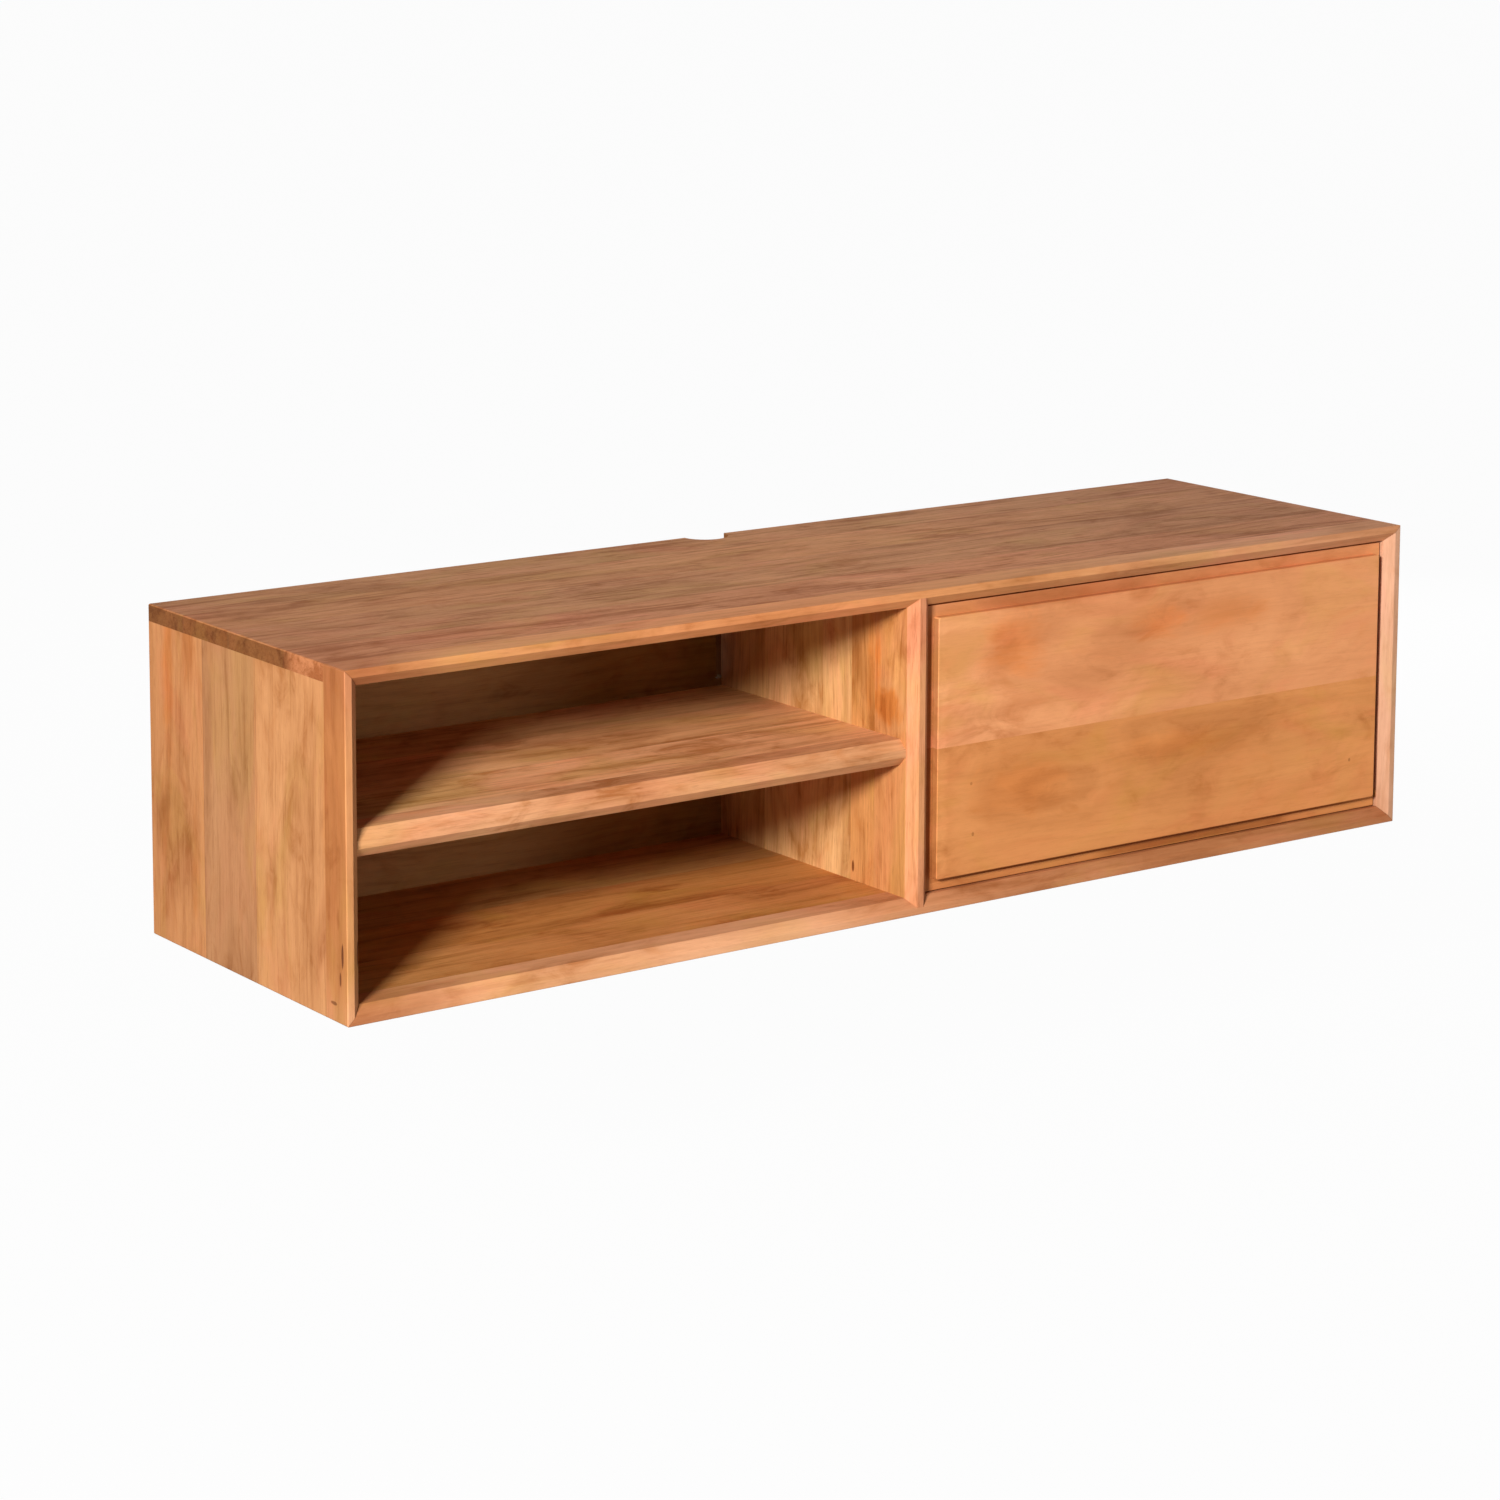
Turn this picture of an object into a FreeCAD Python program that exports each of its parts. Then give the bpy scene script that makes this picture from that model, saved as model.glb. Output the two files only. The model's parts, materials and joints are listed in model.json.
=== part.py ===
import FreeCAD, Part
import math
import os

# Wall-hung media console: a bevelled wooden carcase with a two-level open bay on the left and a
# drop-down flap on the right.
#
# Frame: +X to the right, +Y towards the wall, +Z up.  The origin is the middle of the four wall
# screw holes, in the plane of the wall, so the console reaches from Y = -DEPTH to Y = 0.
# Every size is in millimetres.

V = FreeCAD.Vector
X_AXIS = V(1, 0, 0)
Y_AXIS = V(0, 1, 0)
Z_AXIS = V(0, 0, 1)

# ------------------------------------------------------------------ driving sizes: carcase
WIDTH = 1400.0
DEPTH = 400.0
HEIGHT = 350.0
PANEL_THICKNESS = 18.0        # top, bottom and side boards
DIVIDER_THICKNESS = 28.0
SHELF_THICKNESS = 28.0
BACK_THICKNESS = 8.0
LIPPING_DEPTH = 40.0          # front strips glued along the boards
DIVIDER_STRIP_DEPTH = 64.0    # the divider's front strip, which also carries a stay
NOSE_FLAT = 8.0               # flat left between the bevels of a front edge
CORNER_ROUND = 2.0            # long outer corners of the carcase
EDGE_ROUND = 1.2              # front edges of the strips and of the flap
WALL_CAVITY = 46.0            # from the back board to the wall
GROOVE_DEPTH = 6.0            # grooves that hold the back board

# ------------------------------------------------------------------ driving sizes: cable ways
NOTCH_RADIUS = 27.0           # half-round notch in the rear edge of the top
CABLE_SLOT_WIDTH = 8.0        # upright slot in the back board, beside the divider
CABLE_SLOT_RISE = 7.0         # from the shelf up to the round end of the slot
TAIL_CLEARANCE = 1.0          # from the divider's tail to the notch, seen from above
PORT_RADIUS = 25.0            # round hole in the back board, behind the flap
PORT_DROP = 60.0              # from the ceiling down to the hole's centre
PORT_OFFSET = 90.0            # from the divider's face to the hole's centre

# ------------------------------------------------------------------ driving sizes: wall hanging
CLEAT_THICKNESS = 22.0
CLEAT_HOOK_HEIGHT = 34.0      # front height of the bevelled cleat under the top
CLEAT_WALL_HEIGHT = 72.0      # front height of the cleat on the wall
CLEAT_GAP = 120.0             # clear way for cables between the left and the right cleats
CLEAT_SIDE_PLAY = 20.0        # how much shorter the wall cleat is, for setting the console sideways
BOLT_DROP = 47.0              # from the cleats' hooking edge down to the wall screws
BOLT_END_MARGIN = 62.0        # from the wall cleat's outer end to the outer wall screw
BOLT_SPACING_INNER = 400.0
BOLT_HOLE_RADIUS = 3.25
BOLT_SINK_RADIUS = 6.5
BOLT_SINK_DEPTH = 3.5

# ------------------------------------------------------------------ driving sizes: dowels, screws
DOWEL_RADIUS = 4.0
DOWEL_IN_FACE = 12.0          # hole depth in the face of a board
DOWEL_IN_END = 20.0           # hole depth in the end of a board
DOWEL_END_GAP = 1.0           # glue space at each end
JOINT_DOWEL_COUNT = 3
SHELF_DOWEL_COUNT = 2
JOINT_MARGIN = 45.0           # from the ends of a joint to its first and last dowel

SCREW_RADIUS = 1.75
SCREW_HEAD_RADIUS = 3.6
SCREW_HEAD_HEIGHT = 2.0
SMALL_SCREW_LENGTH = 13.0
BACK_SCREW_LENGTH = 32.0
DIVIDER_SCREW_COUNT = 3
SHELF_SCREW_COUNT = 3

# ------------------------------------------------------------------ driving sizes: flap
FLAP_THICKNESS = 20.0
FLAP_RECESS = 4.4             # flap face behind the front of the carcase
FLAP_GAP = 2.5                # play between the flap and the carcase, at the ends and the top
FLAP_FLOOR_GAP = 1.2          # play between the flap and the bottom
FLAP_STEP_DEPTH = 9.0         # from the raised field down to the border round it
FLAP_SIDE_BORDER = 8.0        # width of the border at the ends
FLAP_TOP_BORDER = 12.0        # width of the border along the top: the finger pull
FLAP_LOWER_BORDER = 13.3      # width of the border along the bottom
FIELD_CORNER_ROUND = 3.0      # corners of the raised field
PIVOT_TO_REAR = 6.0           # hinge axis to the rear face of the flap
PIVOT_TO_EDGE = 14.3          # hinge axis to the lower edge of the flap
PIN_RADIUS = 3.0
PIN_IN_FLAP = 30.0
PIN_IN_BUSH = 10.5
BUSH_RADIUS = 5.0
BUSH_LENGTH = 12.0
BUSH_FLANGE_RADIUS = 7.0
BUSH_FLANGE = 1.0
RUNNING_GAP = 0.05            # radial play of everything that turns or slides

# ------------------------------------------------------------------ driving sizes: flap stays
# A slotted arm hangs on a bracket behind the flap and slides over a stud in the carcase.  The two
# lie at the same distance from the hinge axis, so the arm turns by exactly half the flap's angle.
STAY_RADIUS = 150.0           # hinge axis to the bracket's rivet, and to the stud
STAY_LEAD_ANGLE = 10.0        # angle from the stud to the rivet, seen from the hinge, flap closed
OPEN_ANGLE = 90.0
STAY_STANDOFF = 10.0          # rivet behind the flap's rear face
ARM_WIDTH = 14.0
ARM_THICKNESS = 2.0
ARM_TAIL = 9.0                # metal past the end of the slot
SLOT_SLACK = 1.5              # slot left over when the flap is closed
STUD_RADIUS = 3.0
STUD_THREAD_RADIUS = 2.5
STUD_THREAD_END = 1.0         # thread that shows past the nut
STUD_FLANGE_RADIUS = 6.0
STUD_PLATE_THICKNESS = 1.5
STUD_PLATE_LENGTH = 40.0
STUD_PLATE_WIDTH = 14.0
STUD_FLANGE_THICKNESS = 1.6
SIDE_PLAY = 0.1               # between the arm and what lies beside it
WASHER_THICKNESS = 1.1
WASHER_RADIUS = 6.5
NUT_SIDES = 6
NUT_ACROSS_FLATS = 9.0
NUT_HEIGHT = 4.0
RIVET_RADIUS = 2.5
RIVET_HEAD_RADIUS = 4.5
RIVET_HEAD = 1.0
RIVET_CROWN_RADIUS = 3.2      # flat left on a rivet's head
BRACKET_THICKNESS = 2.0
BRACKET_LENGTH = 27.0         # along the flap
BRACKET_HEIGHT = 32.0
BRACKET_BEND = 1.0            # inner radius of the bend
BRACKET_SCREW_PITCH = 18.0

# ------------------------------------------------------------------ driving sizes: magnetic catch
CATCH_LENGTH = 46.0
CATCH_BLOCK_LENGTH = 28.0
CATCH_DEPTH = 14.0
CATCH_HEIGHT = 18.0
CATCH_WALL = 2.0              # housing left under the lower pole plate
CATCH_EAR_THICKNESS = 3.0
CATCH_SCREW_PITCH = 37.0
CATCH_GAP = 0.3               # magnet to strike plate with the flap closed
MAGNET_LENGTH = 20.0
MAGNET_HEIGHT = 6.0
MAGNET_DEPTH = 8.0
POLE_THICKNESS = 1.5
STRIKE_LENGTH = 40.0
STRIKE_HEIGHT = 12.0
STRIKE_THICKNESS = 1.2
STRIKE_CORNER = 3.0
STRIKE_SCREW_LENGTH = 9.0
STRIKE_SCREW_PITCH = 28.0

TOUCHING = 1e-4               # closer than this, two points or planes are one

# ------------------------------------------------------------------ planes worked out from them
half_width = WIDTH / 2
side_face = half_width - PANEL_THICKNESS              # inner face of a side board
divider_face = DIVIDER_THICKNESS / 2
y_front = -DEPTH
y_board = y_front + LIPPING_DEPTH                     # where the boards start behind the strips
y_divider_board = y_front + DIVIDER_STRIP_DEPTH
y_tail = -NOTCH_RADIUS - TAIL_CLEARANCE               # the divider's tail ends short of the notch
y_back_rear = -WALL_CAVITY
y_back = y_back_rear - BACK_THICKNESS                 # front face of the back board
z_bottom = -(HEIGHT - PANEL_THICKNESS - CLEAT_HOOK_HEIGHT - BOLT_DROP)
z_top = z_bottom + HEIGHT
z_floor = z_bottom + PANEL_THICKNESS
z_ceiling = z_top - PANEL_THICKNESS
z_middle = (z_floor + z_ceiling) / 2
frame_bevel = PANEL_THICKNESS - NOSE_FLAT
divider_bevel = (DIVIDER_THICKNESS - NOSE_FLAT) / 2
shelf_bevel = (SHELF_THICKNESS - NOSE_FLAT) / 2
y_shelf = y_front + frame_bevel                       # the shelf starts where the bevels end
y_shelf_board = y_shelf + LIPPING_DEPTH
z_shelf_low = z_middle - SHELF_THICKNESS / 2
z_shelf_high = z_middle + SHELF_THICKNESS / 2

flap_x0 = divider_face + FLAP_GAP
flap_x1 = side_face - FLAP_GAP
flap_z0 = z_floor + FLAP_FLOOR_GAP
flap_z1 = z_ceiling - FLAP_GAP
flap_y0 = y_front + FLAP_RECESS
flap_y1 = flap_y0 + FLAP_THICKNESS
axis_y = flap_y1 - PIVOT_TO_REAR
axis_z = flap_z0 + PIVOT_TO_EDGE

parts = {}


# ------------------------------------------------------------------ shape helpers
def box(x0, x1, y0, y1, z0, z1):
    return Part.makeBox(x1 - x0, y1 - y0, z1 - z0, V(x0, y0, z0))


def rounded_face(points, radii):
    """A flat face with the given corners, each rounded by its own radius (0 keeps it sharp)."""
    edges = []
    arcs = []
    count = len(points)
    for i in range(count):
        corner = points[i]
        if radii[i] == 0:
            arcs.append((corner, None, corner))
            continue
        to_last = (points[i - 1] - corner).normalize()
        to_next = (points[(i + 1) % count] - corner).normalize()
        half_angle = to_last.getAngle(to_next) / 2
        middle = (to_last + to_next).normalize()
        reach = radii[i] / math.tan(half_angle)
        near = corner + middle * (radii[i] / math.sin(half_angle) - radii[i])
        arcs.append((corner + to_last * reach, near, corner + to_next * reach))
    for i in range(count):
        start, near, end = arcs[i]
        if near is not None:
            edges.append(Part.Arc(start, near, end).toShape())
        following = arcs[(i + 1) % count][0]
        if end.distanceToPoint(following) > TOUCHING:
            edges.append(Part.makeLine(end, following))
    return Part.Face(Part.Wire(edges))


def prism(points, radii, travel):
    return rounded_face(points, radii).extrude(travel)


def stadium(x, start, end, radius):
    """A face in the plane X = x: a straight band from start to end with round ends."""
    along = (end - start).normalize()
    across = X_AXIS.cross(along) * radius
    tip = along * radius
    a, b = V(x, start.y, start.z), V(x, end.y, end.z)
    return Part.Face(Part.Wire([
        Part.makeLine(a + across, b + across),
        Part.Arc(b + across, b + tip, b - across).toShape(),
        Part.makeLine(b - across, a - across),
        Part.Arc(a - across, a - tip, a + across).toShape(),
    ]))


def group(shapes):
    """Separate solids that share one node."""
    return Part.Compound(shapes)


def evenly(start, end, count):
    """Places spread evenly from start to end, both included."""
    if count == 1:
        return [(start + end) / 2]
    return [start + (end - start) * i / (count - 1) for i in range(count)]


class Dowel:
    """A wooden pin across a joint: into_face points into the board that is drilled in its face."""

    def __init__(self, place, into_face):
        length = DOWEL_IN_FACE + DOWEL_IN_END
        tail = place - into_face * DOWEL_IN_END
        self.hole = Part.makeCylinder(DOWEL_RADIUS, length, tail, into_face)
        self.solid = Part.makeCylinder(
            DOWEL_RADIUS, length - 2 * DOWEL_END_GAP, tail + into_face * DOWEL_END_GAP, into_face)


def screw(place, direction, length):
    """A countersunk screw: its head is flush at place and its shank runs along the direction."""
    head = Part.makeCone(SCREW_HEAD_RADIUS, SCREW_RADIUS, SCREW_HEAD_HEIGHT, place, direction)
    shank = Part.makeCylinder(SCREW_RADIUS, length - SCREW_HEAD_HEIGHT,
                              place + direction * SCREW_HEAD_HEIGHT, direction)
    return head.fuse(shank).removeSplitter()


# ------------------------------------------------------------------ joints: dowels and their holes
joint_front = y_board + JOINT_MARGIN
joint_rear = y_back - JOINT_MARGIN
joint_places = evenly(joint_front, joint_rear, JOINT_DOWEL_COUNT)
shelf_places = evenly(y_shelf_board + JOINT_MARGIN, joint_rear, SHELF_DOWEL_COUNT)

side_centre = half_width - PANEL_THICKNESS / 2
bottom_centre = z_bottom + PANEL_THICKNESS / 2
corner_dowels = {}
for side_name, side in (("left", -1), ("right", 1)):
    corner_dowels[side_name, "top"] = [
        Dowel(V(side * side_centre, y, z_ceiling), Z_AXIS) for y in joint_places]
    corner_dowels[side_name, "bottom"] = [
        Dowel(V(side * side_face, y, bottom_centre), X_AXIS * side) for y in joint_places]
divider_dowels = {
    "top": [Dowel(V(0, y, z_ceiling), Z_AXIS) for y in joint_places],
    "bottom": [Dowel(V(0, y, z_floor), Z_AXIS * -1) for y in joint_places],
}
shelf_dowels = {
    "left": [Dowel(V(-side_face, y, z_middle), X_AXIS * -1) for y in shelf_places],
    "right": [Dowel(V(-divider_face, y, z_middle), X_AXIS) for y in shelf_places],
}

cleat_inner = CLEAT_GAP / 2
cleat_dowels = {}
for side_name, side in (("left", -1), ("right", 1)):
    places = evenly(cleat_inner + JOINT_MARGIN, side_face - JOINT_MARGIN, JOINT_DOWEL_COUNT)
    cleat_dowels[side_name] = [
        Dowel(V(side * x, -CLEAT_THICKNESS / 2, z_ceiling), Z_AXIS) for x in places]


def holes(*dowel_lists):
    return [dowel.hole for dowels in dowel_lists for dowel in dowels]


def solids(*dowel_lists):
    return [dowel.solid for dowels in dowel_lists for dowel in dowels]


parts["carcase_dowels"] = group(solids(*corner_dowels.values(), *divider_dowels.values()))
parts["shelf_dowels"] = group(solids(*shelf_dowels.values()))
parts["cleat_dowels"] = group(solids(*cleat_dowels.values()))

# ------------------------------------------------------------------ boards of the carcase
outer_corners = [V(-half_width, y_front, z_bottom), V(half_width, y_front, z_bottom),
                 V(half_width, y_front, z_top), V(-half_width, y_front, z_top)]
envelope = prism(outer_corners, [CORNER_ROUND] * 4, Y_AXIS * DEPTH)

groove_reach = side_face + GROOVE_DEPTH
back_groove = box(-groove_reach, groove_reach, y_back, y_back_rear,
                  z_floor - GROOVE_DEPTH, z_ceiling + GROOVE_DEPTH)
notch = Part.makeCylinder(NOTCH_RADIUS, PANEL_THICKNESS, V(0, 0, z_ceiling), Z_AXIS)

top_board = box(-half_width, half_width, y_board, 0, z_ceiling, z_top).common(envelope)
parts["top_panel"] = top_board.cut([back_groove, notch] + holes(
    corner_dowels["left", "top"], corner_dowels["right", "top"], divider_dowels["top"],
    cleat_dowels["left"], cleat_dowels["right"]))

parts["bottom_panel"] = box(-side_face, side_face, y_board, 0, z_bottom, z_floor).cut(
    [back_groove] + holes(
        corner_dowels["left", "bottom"], corner_dowels["right", "bottom"], divider_dowels["bottom"]))

# The top lies on the side boards; the bottom stands between them.
side_boards = box(-half_width, half_width, y_board, 0, z_bottom, z_ceiling).common(envelope).cut(
    box(-side_face, side_face, y_board, 0, z_bottom, z_ceiling))
side_boards = side_boards.cut([back_groove] + holes(*corner_dowels.values(), shelf_dowels["left"]))
for solid in side_boards.Solids:
    side_name = "left" if solid.CenterOfMass.x < 0 else "right"
    parts[side_name + "_side_panel"] = solid

# The divider's upper half runs on through the back board, beside the cable slot, as a tail.
z_tail = z_shelf_high + CABLE_SLOT_RISE
divider_board = box(-divider_face, divider_face, y_divider_board, y_back, z_floor, z_ceiling)
divider_tail = box(-divider_face, divider_face, y_back, y_tail, z_tail, z_ceiling)
parts["divider_panel"] = divider_board.fuse(divider_tail).removeSplitter().cut(
    holes(divider_dowels["top"], divider_dowels["bottom"], shelf_dowels["right"]))
parts["shelf_panel"] = box(
    -side_face, -divider_face, y_shelf_board, y_back, z_shelf_low, z_shelf_high).cut(
    holes(shelf_dowels["left"], shelf_dowels["right"]))


# ------------------------------------------------------------------ bevelled strips along the front
def mitred(strip, corners):
    """Keep the part of a strip that lies between the two mitres of the front frame."""
    points = [V(x, y_front, z) for x, z in corners]
    return strip.common(prism(points, [0] * 4, Y_AXIS * LIPPING_DEPTH)).common(envelope)


def side_strip(side):
    """Upright strip: flat nose outside, bevel towards the bay."""
    outer, inner = side * half_width, side * side_face
    nose = side * (half_width - NOSE_FLAT)
    profile = [V(outer, y_board, z_bottom), V(outer, y_front, z_bottom), V(nose, y_front, z_bottom),
               V(inner, y_front + frame_bevel, z_bottom), V(inner, y_board, z_bottom)]
    strip = prism(profile, [0, EDGE_ROUND, EDGE_ROUND, EDGE_ROUND, 0], Z_AXIS * HEIGHT)
    return mitred(strip, [(outer, z_bottom), (inner, z_floor), (inner, z_ceiling), (outer, z_top)])


def level_strip(z_outer, z_inner, toward_bay):
    """Long strip along the top or the bottom, with its bevel towards the bays."""
    x = -half_width
    nose = z_outer + toward_bay * NOSE_FLAT
    profile = [V(x, y_board, z_outer), V(x, y_front, z_outer), V(x, y_front, nose),
               V(x, y_front + frame_bevel, z_inner), V(x, y_board, z_inner)]
    strip = prism(profile, [0, EDGE_ROUND, EDGE_ROUND, EDGE_ROUND, 0], X_AXIS * WIDTH)
    return mitred(strip, [(-half_width, z_outer), (half_width, z_outer),
                          (side_face, z_inner), (-side_face, z_inner)])


parts["left_front_lipping"] = side_strip(-1)
parts["right_front_lipping"] = side_strip(1)
parts["top_front_lipping"] = level_strip(z_top, z_ceiling, -1)
parts["bottom_front_lipping"] = level_strip(z_bottom, z_floor, 1)

divider_profile = [
    V(-divider_face, y_divider_board, z_bottom), V(-divider_face, y_front + divider_bevel, z_bottom),
    V(-NOSE_FLAT / 2, y_front, z_bottom), V(NOSE_FLAT / 2, y_front, z_bottom),
    V(divider_face, y_front + divider_bevel, z_bottom), V(divider_face, y_divider_board, z_bottom)]
divider_strip = prism(
    divider_profile, [0, EDGE_ROUND, EDGE_ROUND, EDGE_ROUND, EDGE_ROUND, 0], Z_AXIS * HEIGHT)
nose_span = box(-divider_face, divider_face, y_front, y_divider_board,
                z_bottom + NOSE_FLAT, z_top - NOSE_FLAT)
parts["divider_lipping"] = divider_strip.common(nose_span).cut(
    [parts[node] for node in (
        "top_front_lipping", "bottom_front_lipping", "top_panel", "bottom_panel")])

shelf_profile = [
    V(-side_face, y_shelf_board, z_shelf_low), V(-side_face, y_shelf + shelf_bevel, z_shelf_low),
    V(-side_face, y_shelf, z_middle - NOSE_FLAT / 2), V(-side_face, y_shelf, z_middle + NOSE_FLAT / 2),
    V(-side_face, y_shelf + shelf_bevel, z_shelf_high), V(-side_face, y_shelf_board, z_shelf_high)]
parts["shelf_lipping"] = prism(
    shelf_profile, [0, EDGE_ROUND, EDGE_ROUND, EDGE_ROUND, EDGE_ROUND, 0],
    X_AXIS * (side_face - divider_face))

# ------------------------------------------------------------------ back board and its screws
tongue = GROOVE_DEPTH - DOWEL_END_GAP / 2
back_reach = side_face + tongue
port = Part.makeCylinder(PORT_RADIUS, BACK_THICKNESS, V(
    divider_face + PORT_OFFSET, y_back, z_ceiling - PORT_DROP), Y_AXIS)
slot_radius = CABLE_SLOT_WIDTH / 2
slot_x = -divider_face - slot_radius
slot_z = z_tail + slot_radius
slot_end = Part.makeCylinder(slot_radius, BACK_THICKNESS, V(slot_x, y_back, slot_z), Y_AXIS)
slot_run = box(slot_x - slot_radius, slot_x + slot_radius, y_back, y_back_rear, slot_z, z_ceiling)

divider_screws = [
    screw(V(0, y_back_rear, z), Y_AXIS * -1, BACK_SCREW_LENGTH)
    for z in evenly(z_floor + JOINT_MARGIN, z_tail - JOINT_MARGIN, DIVIDER_SCREW_COUNT)]
shelf_screws = [
    screw(V(x, y_back_rear, z_middle), Y_AXIS * -1, BACK_SCREW_LENGTH)
    for x in evenly(-side_face + 2 * JOINT_MARGIN, -divider_face - 2 * JOINT_MARGIN,
                    SHELF_SCREW_COUNT)]
parts["back_panel"] = box(
    -back_reach, back_reach, y_back, y_back_rear, z_floor - tongue, z_ceiling + tongue).cut(
    [port, slot_end, slot_run, divider_tail] + divider_screws + shelf_screws)
parts["back_panel_screws"] = group(divider_screws + shelf_screws)
parts["divider_panel"] = parts["divider_panel"].cut(divider_screws)
parts["shelf_panel"] = parts["shelf_panel"].cut(shelf_screws)

# ------------------------------------------------------------------ cleats that hang it on the wall
z_hook_front = z_ceiling - CLEAT_HOOK_HEIGHT          # hooking edge at the cleats' front faces
z_hook_rear = z_hook_front - CLEAT_THICKNESS          # and at the wall: a 45 degree bevel
z_wall_low = z_hook_front - CLEAT_WALL_HEIGHT


def cleat(x0, x1, profile):
    """A bevelled rail along X with the given (y, z) profile."""
    points = [V(x0, y, z) for y, z in profile]
    return prism(points, [0] * len(points), X_AXIS * (x1 - x0))


hook_profile = [(-CLEAT_THICKNESS, z_ceiling), (-CLEAT_THICKNESS, z_hook_front),
                (0, z_hook_rear), (0, z_ceiling)]
wall_profile = [(-CLEAT_THICKNESS, z_hook_front), (-CLEAT_THICKNESS, z_wall_low),
                (0, z_wall_low), (0, z_hook_rear)]


def wall_hole(x):
    """A countersunk hole for one wall screw, open to the front of the wall cleat."""
    mouth = V(x, -CLEAT_THICKNESS, 0)
    bore = Part.makeCylinder(BOLT_HOLE_RADIUS, CLEAT_THICKNESS, mouth, Y_AXIS)
    sink = Part.makeCone(BOLT_SINK_RADIUS, BOLT_HOLE_RADIUS, BOLT_SINK_DEPTH, mouth, Y_AXIS)
    return bore.fuse(sink)


for side_name, side in (("left", -1), ("right", 1)):
    near, far = side * cleat_inner, side * side_face
    short = side * (side_face - CLEAT_SIDE_PLAY)
    parts["hanging_cleat_" + side_name] = cleat(
        min(near, far), max(near, far), hook_profile).cut(holes(cleat_dowels[side_name]))
    parts["wall_cleat_" + side_name] = cleat(
        min(near, short), max(near, short), wall_profile).cut(
        [wall_hole(short - side * BOLT_END_MARGIN), wall_hole(side * BOLT_SPACING_INNER / 2)])


# ------------------------------------------------------------------ flap: board, pins and bushes
def flap_board():
    """A board whose field stands out square from a border.

    The front edge of the field is eased, and so is the lower front edge of the border, which
    dips towards the bottom as the flap opens.
    """
    y_border = flap_y0 + FLAP_STEP_DEPTH
    slab = box(flap_x0, flap_x1, y_border, flap_y1, flap_z0, flap_z1)
    field = box(flap_x0 + FLAP_SIDE_BORDER, flap_x1 - FLAP_SIDE_BORDER, flap_y0, y_border,
                flap_z0 + FLAP_LOWER_BORDER, flap_z1 - FLAP_TOP_BORDER)
    corners = [edge for edge in field.Edges if edge.BoundBox.YLength > FLAP_STEP_DEPTH / 2]
    board = field.makeFillet(FIELD_CORNER_ROUND, corners).fuse(slab).removeSplitter()
    rim = [edge for edge in board.Edges if abs(edge.BoundBox.YMax - flap_y0) < TOUCHING]
    foot = [edge for edge in board.Edges if abs(edge.BoundBox.YMax - y_border) < TOUCHING
            and abs(edge.BoundBox.ZMax - flap_z0) < TOUCHING]
    return board.makeFillet(EDGE_ROUND, rim + foot)


pivots = [(flap_x0, 1), (flap_x1, -1)]                # flap end, and the direction into the flap
pins = []
pin_holes = []
bushes = []
bush_holes = []
for end, into in pivots:
    inward = X_AXIS * into
    wall = V(end, axis_y, axis_z) - inward * FLAP_GAP
    tip = wall - inward * PIN_IN_BUSH
    pins.append(Part.makeCylinder(PIN_RADIUS, PIN_IN_BUSH + FLAP_GAP + PIN_IN_FLAP, tip, inward))
    pin_holes.append(Part.makeCylinder(
        PIN_RADIUS, PIN_IN_FLAP + DOWEL_END_GAP, V(end, axis_y, axis_z), inward))
    body = Part.makeCylinder(BUSH_RADIUS, BUSH_LENGTH, wall - inward * BUSH_LENGTH, inward)
    flange = Part.makeCylinder(BUSH_FLANGE_RADIUS, BUSH_FLANGE, wall, inward)
    bore = Part.makeCylinder(PIN_RADIUS + RUNNING_GAP, BUSH_LENGTH + BUSH_FLANGE,
                             wall - inward * BUSH_LENGTH, inward)
    bushes.append(body.fuse(flange).removeSplitter().cut(bore))
    bush_holes.append(Part.makeCylinder(
        BUSH_RADIUS, BUSH_LENGTH, wall - inward * BUSH_LENGTH, inward))

parts["flap_pivot_pins"] = group(pins)
parts["pivot_bushes"] = group(bushes)
parts["divider_lipping"] = parts["divider_lipping"].cut(bush_holes[0])
parts["right_front_lipping"] = parts["right_front_lipping"].cut(bush_holes[1])

# ------------------------------------------------------------------ flap stays
rivet_offset = PIVOT_TO_REAR + STAY_STANDOFF          # rivet behind the plane of the hinge axis
rivet_angle = math.acos(rivet_offset / STAY_RADIUS)
stud_angle = rivet_angle - math.radians(STAY_LEAD_ANGLE)
hinge = V(0, axis_y, axis_z)
rivet_place = hinge + V(0, math.cos(rivet_angle), math.sin(rivet_angle)) * STAY_RADIUS
stud_place = hinge + V(0, math.cos(stud_angle), math.sin(stud_angle)) * STAY_RADIUS
arm_line = (stud_place - rivet_place).normalize()
reach_closed = 2 * STAY_RADIUS * math.sin(math.radians(STAY_LEAD_ANGLE / 2))
reach_open = 2 * STAY_RADIUS * math.sin(math.radians((STAY_LEAD_ANGLE + OPEN_ANGLE) / 2))

# Layers of a stay, counted from the face of the board that carries the stud.
flange_top = STUD_PLATE_THICKNESS + STUD_FLANGE_THICKNESS
arm_low = flange_top + SIDE_PLAY
arm_high = arm_low + ARM_THICKNESS
washer_low = arm_high + SIDE_PLAY
nut_low = washer_low + WASHER_THICKNESS
thread_end = nut_low + NUT_HEIGHT + STUD_THREAD_END
ear_low = arm_high + SIDE_PLAY
ear_high = ear_low + BRACKET_THICKNESS


def disc(face_x, into, place, low, high, radius):
    """A round layer of a stay between two distances from the carrying face."""
    base = V(face_x + into * low, place.y, place.z)
    return Part.makeCylinder(radius, high - low, base, X_AXIS * into)


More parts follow.
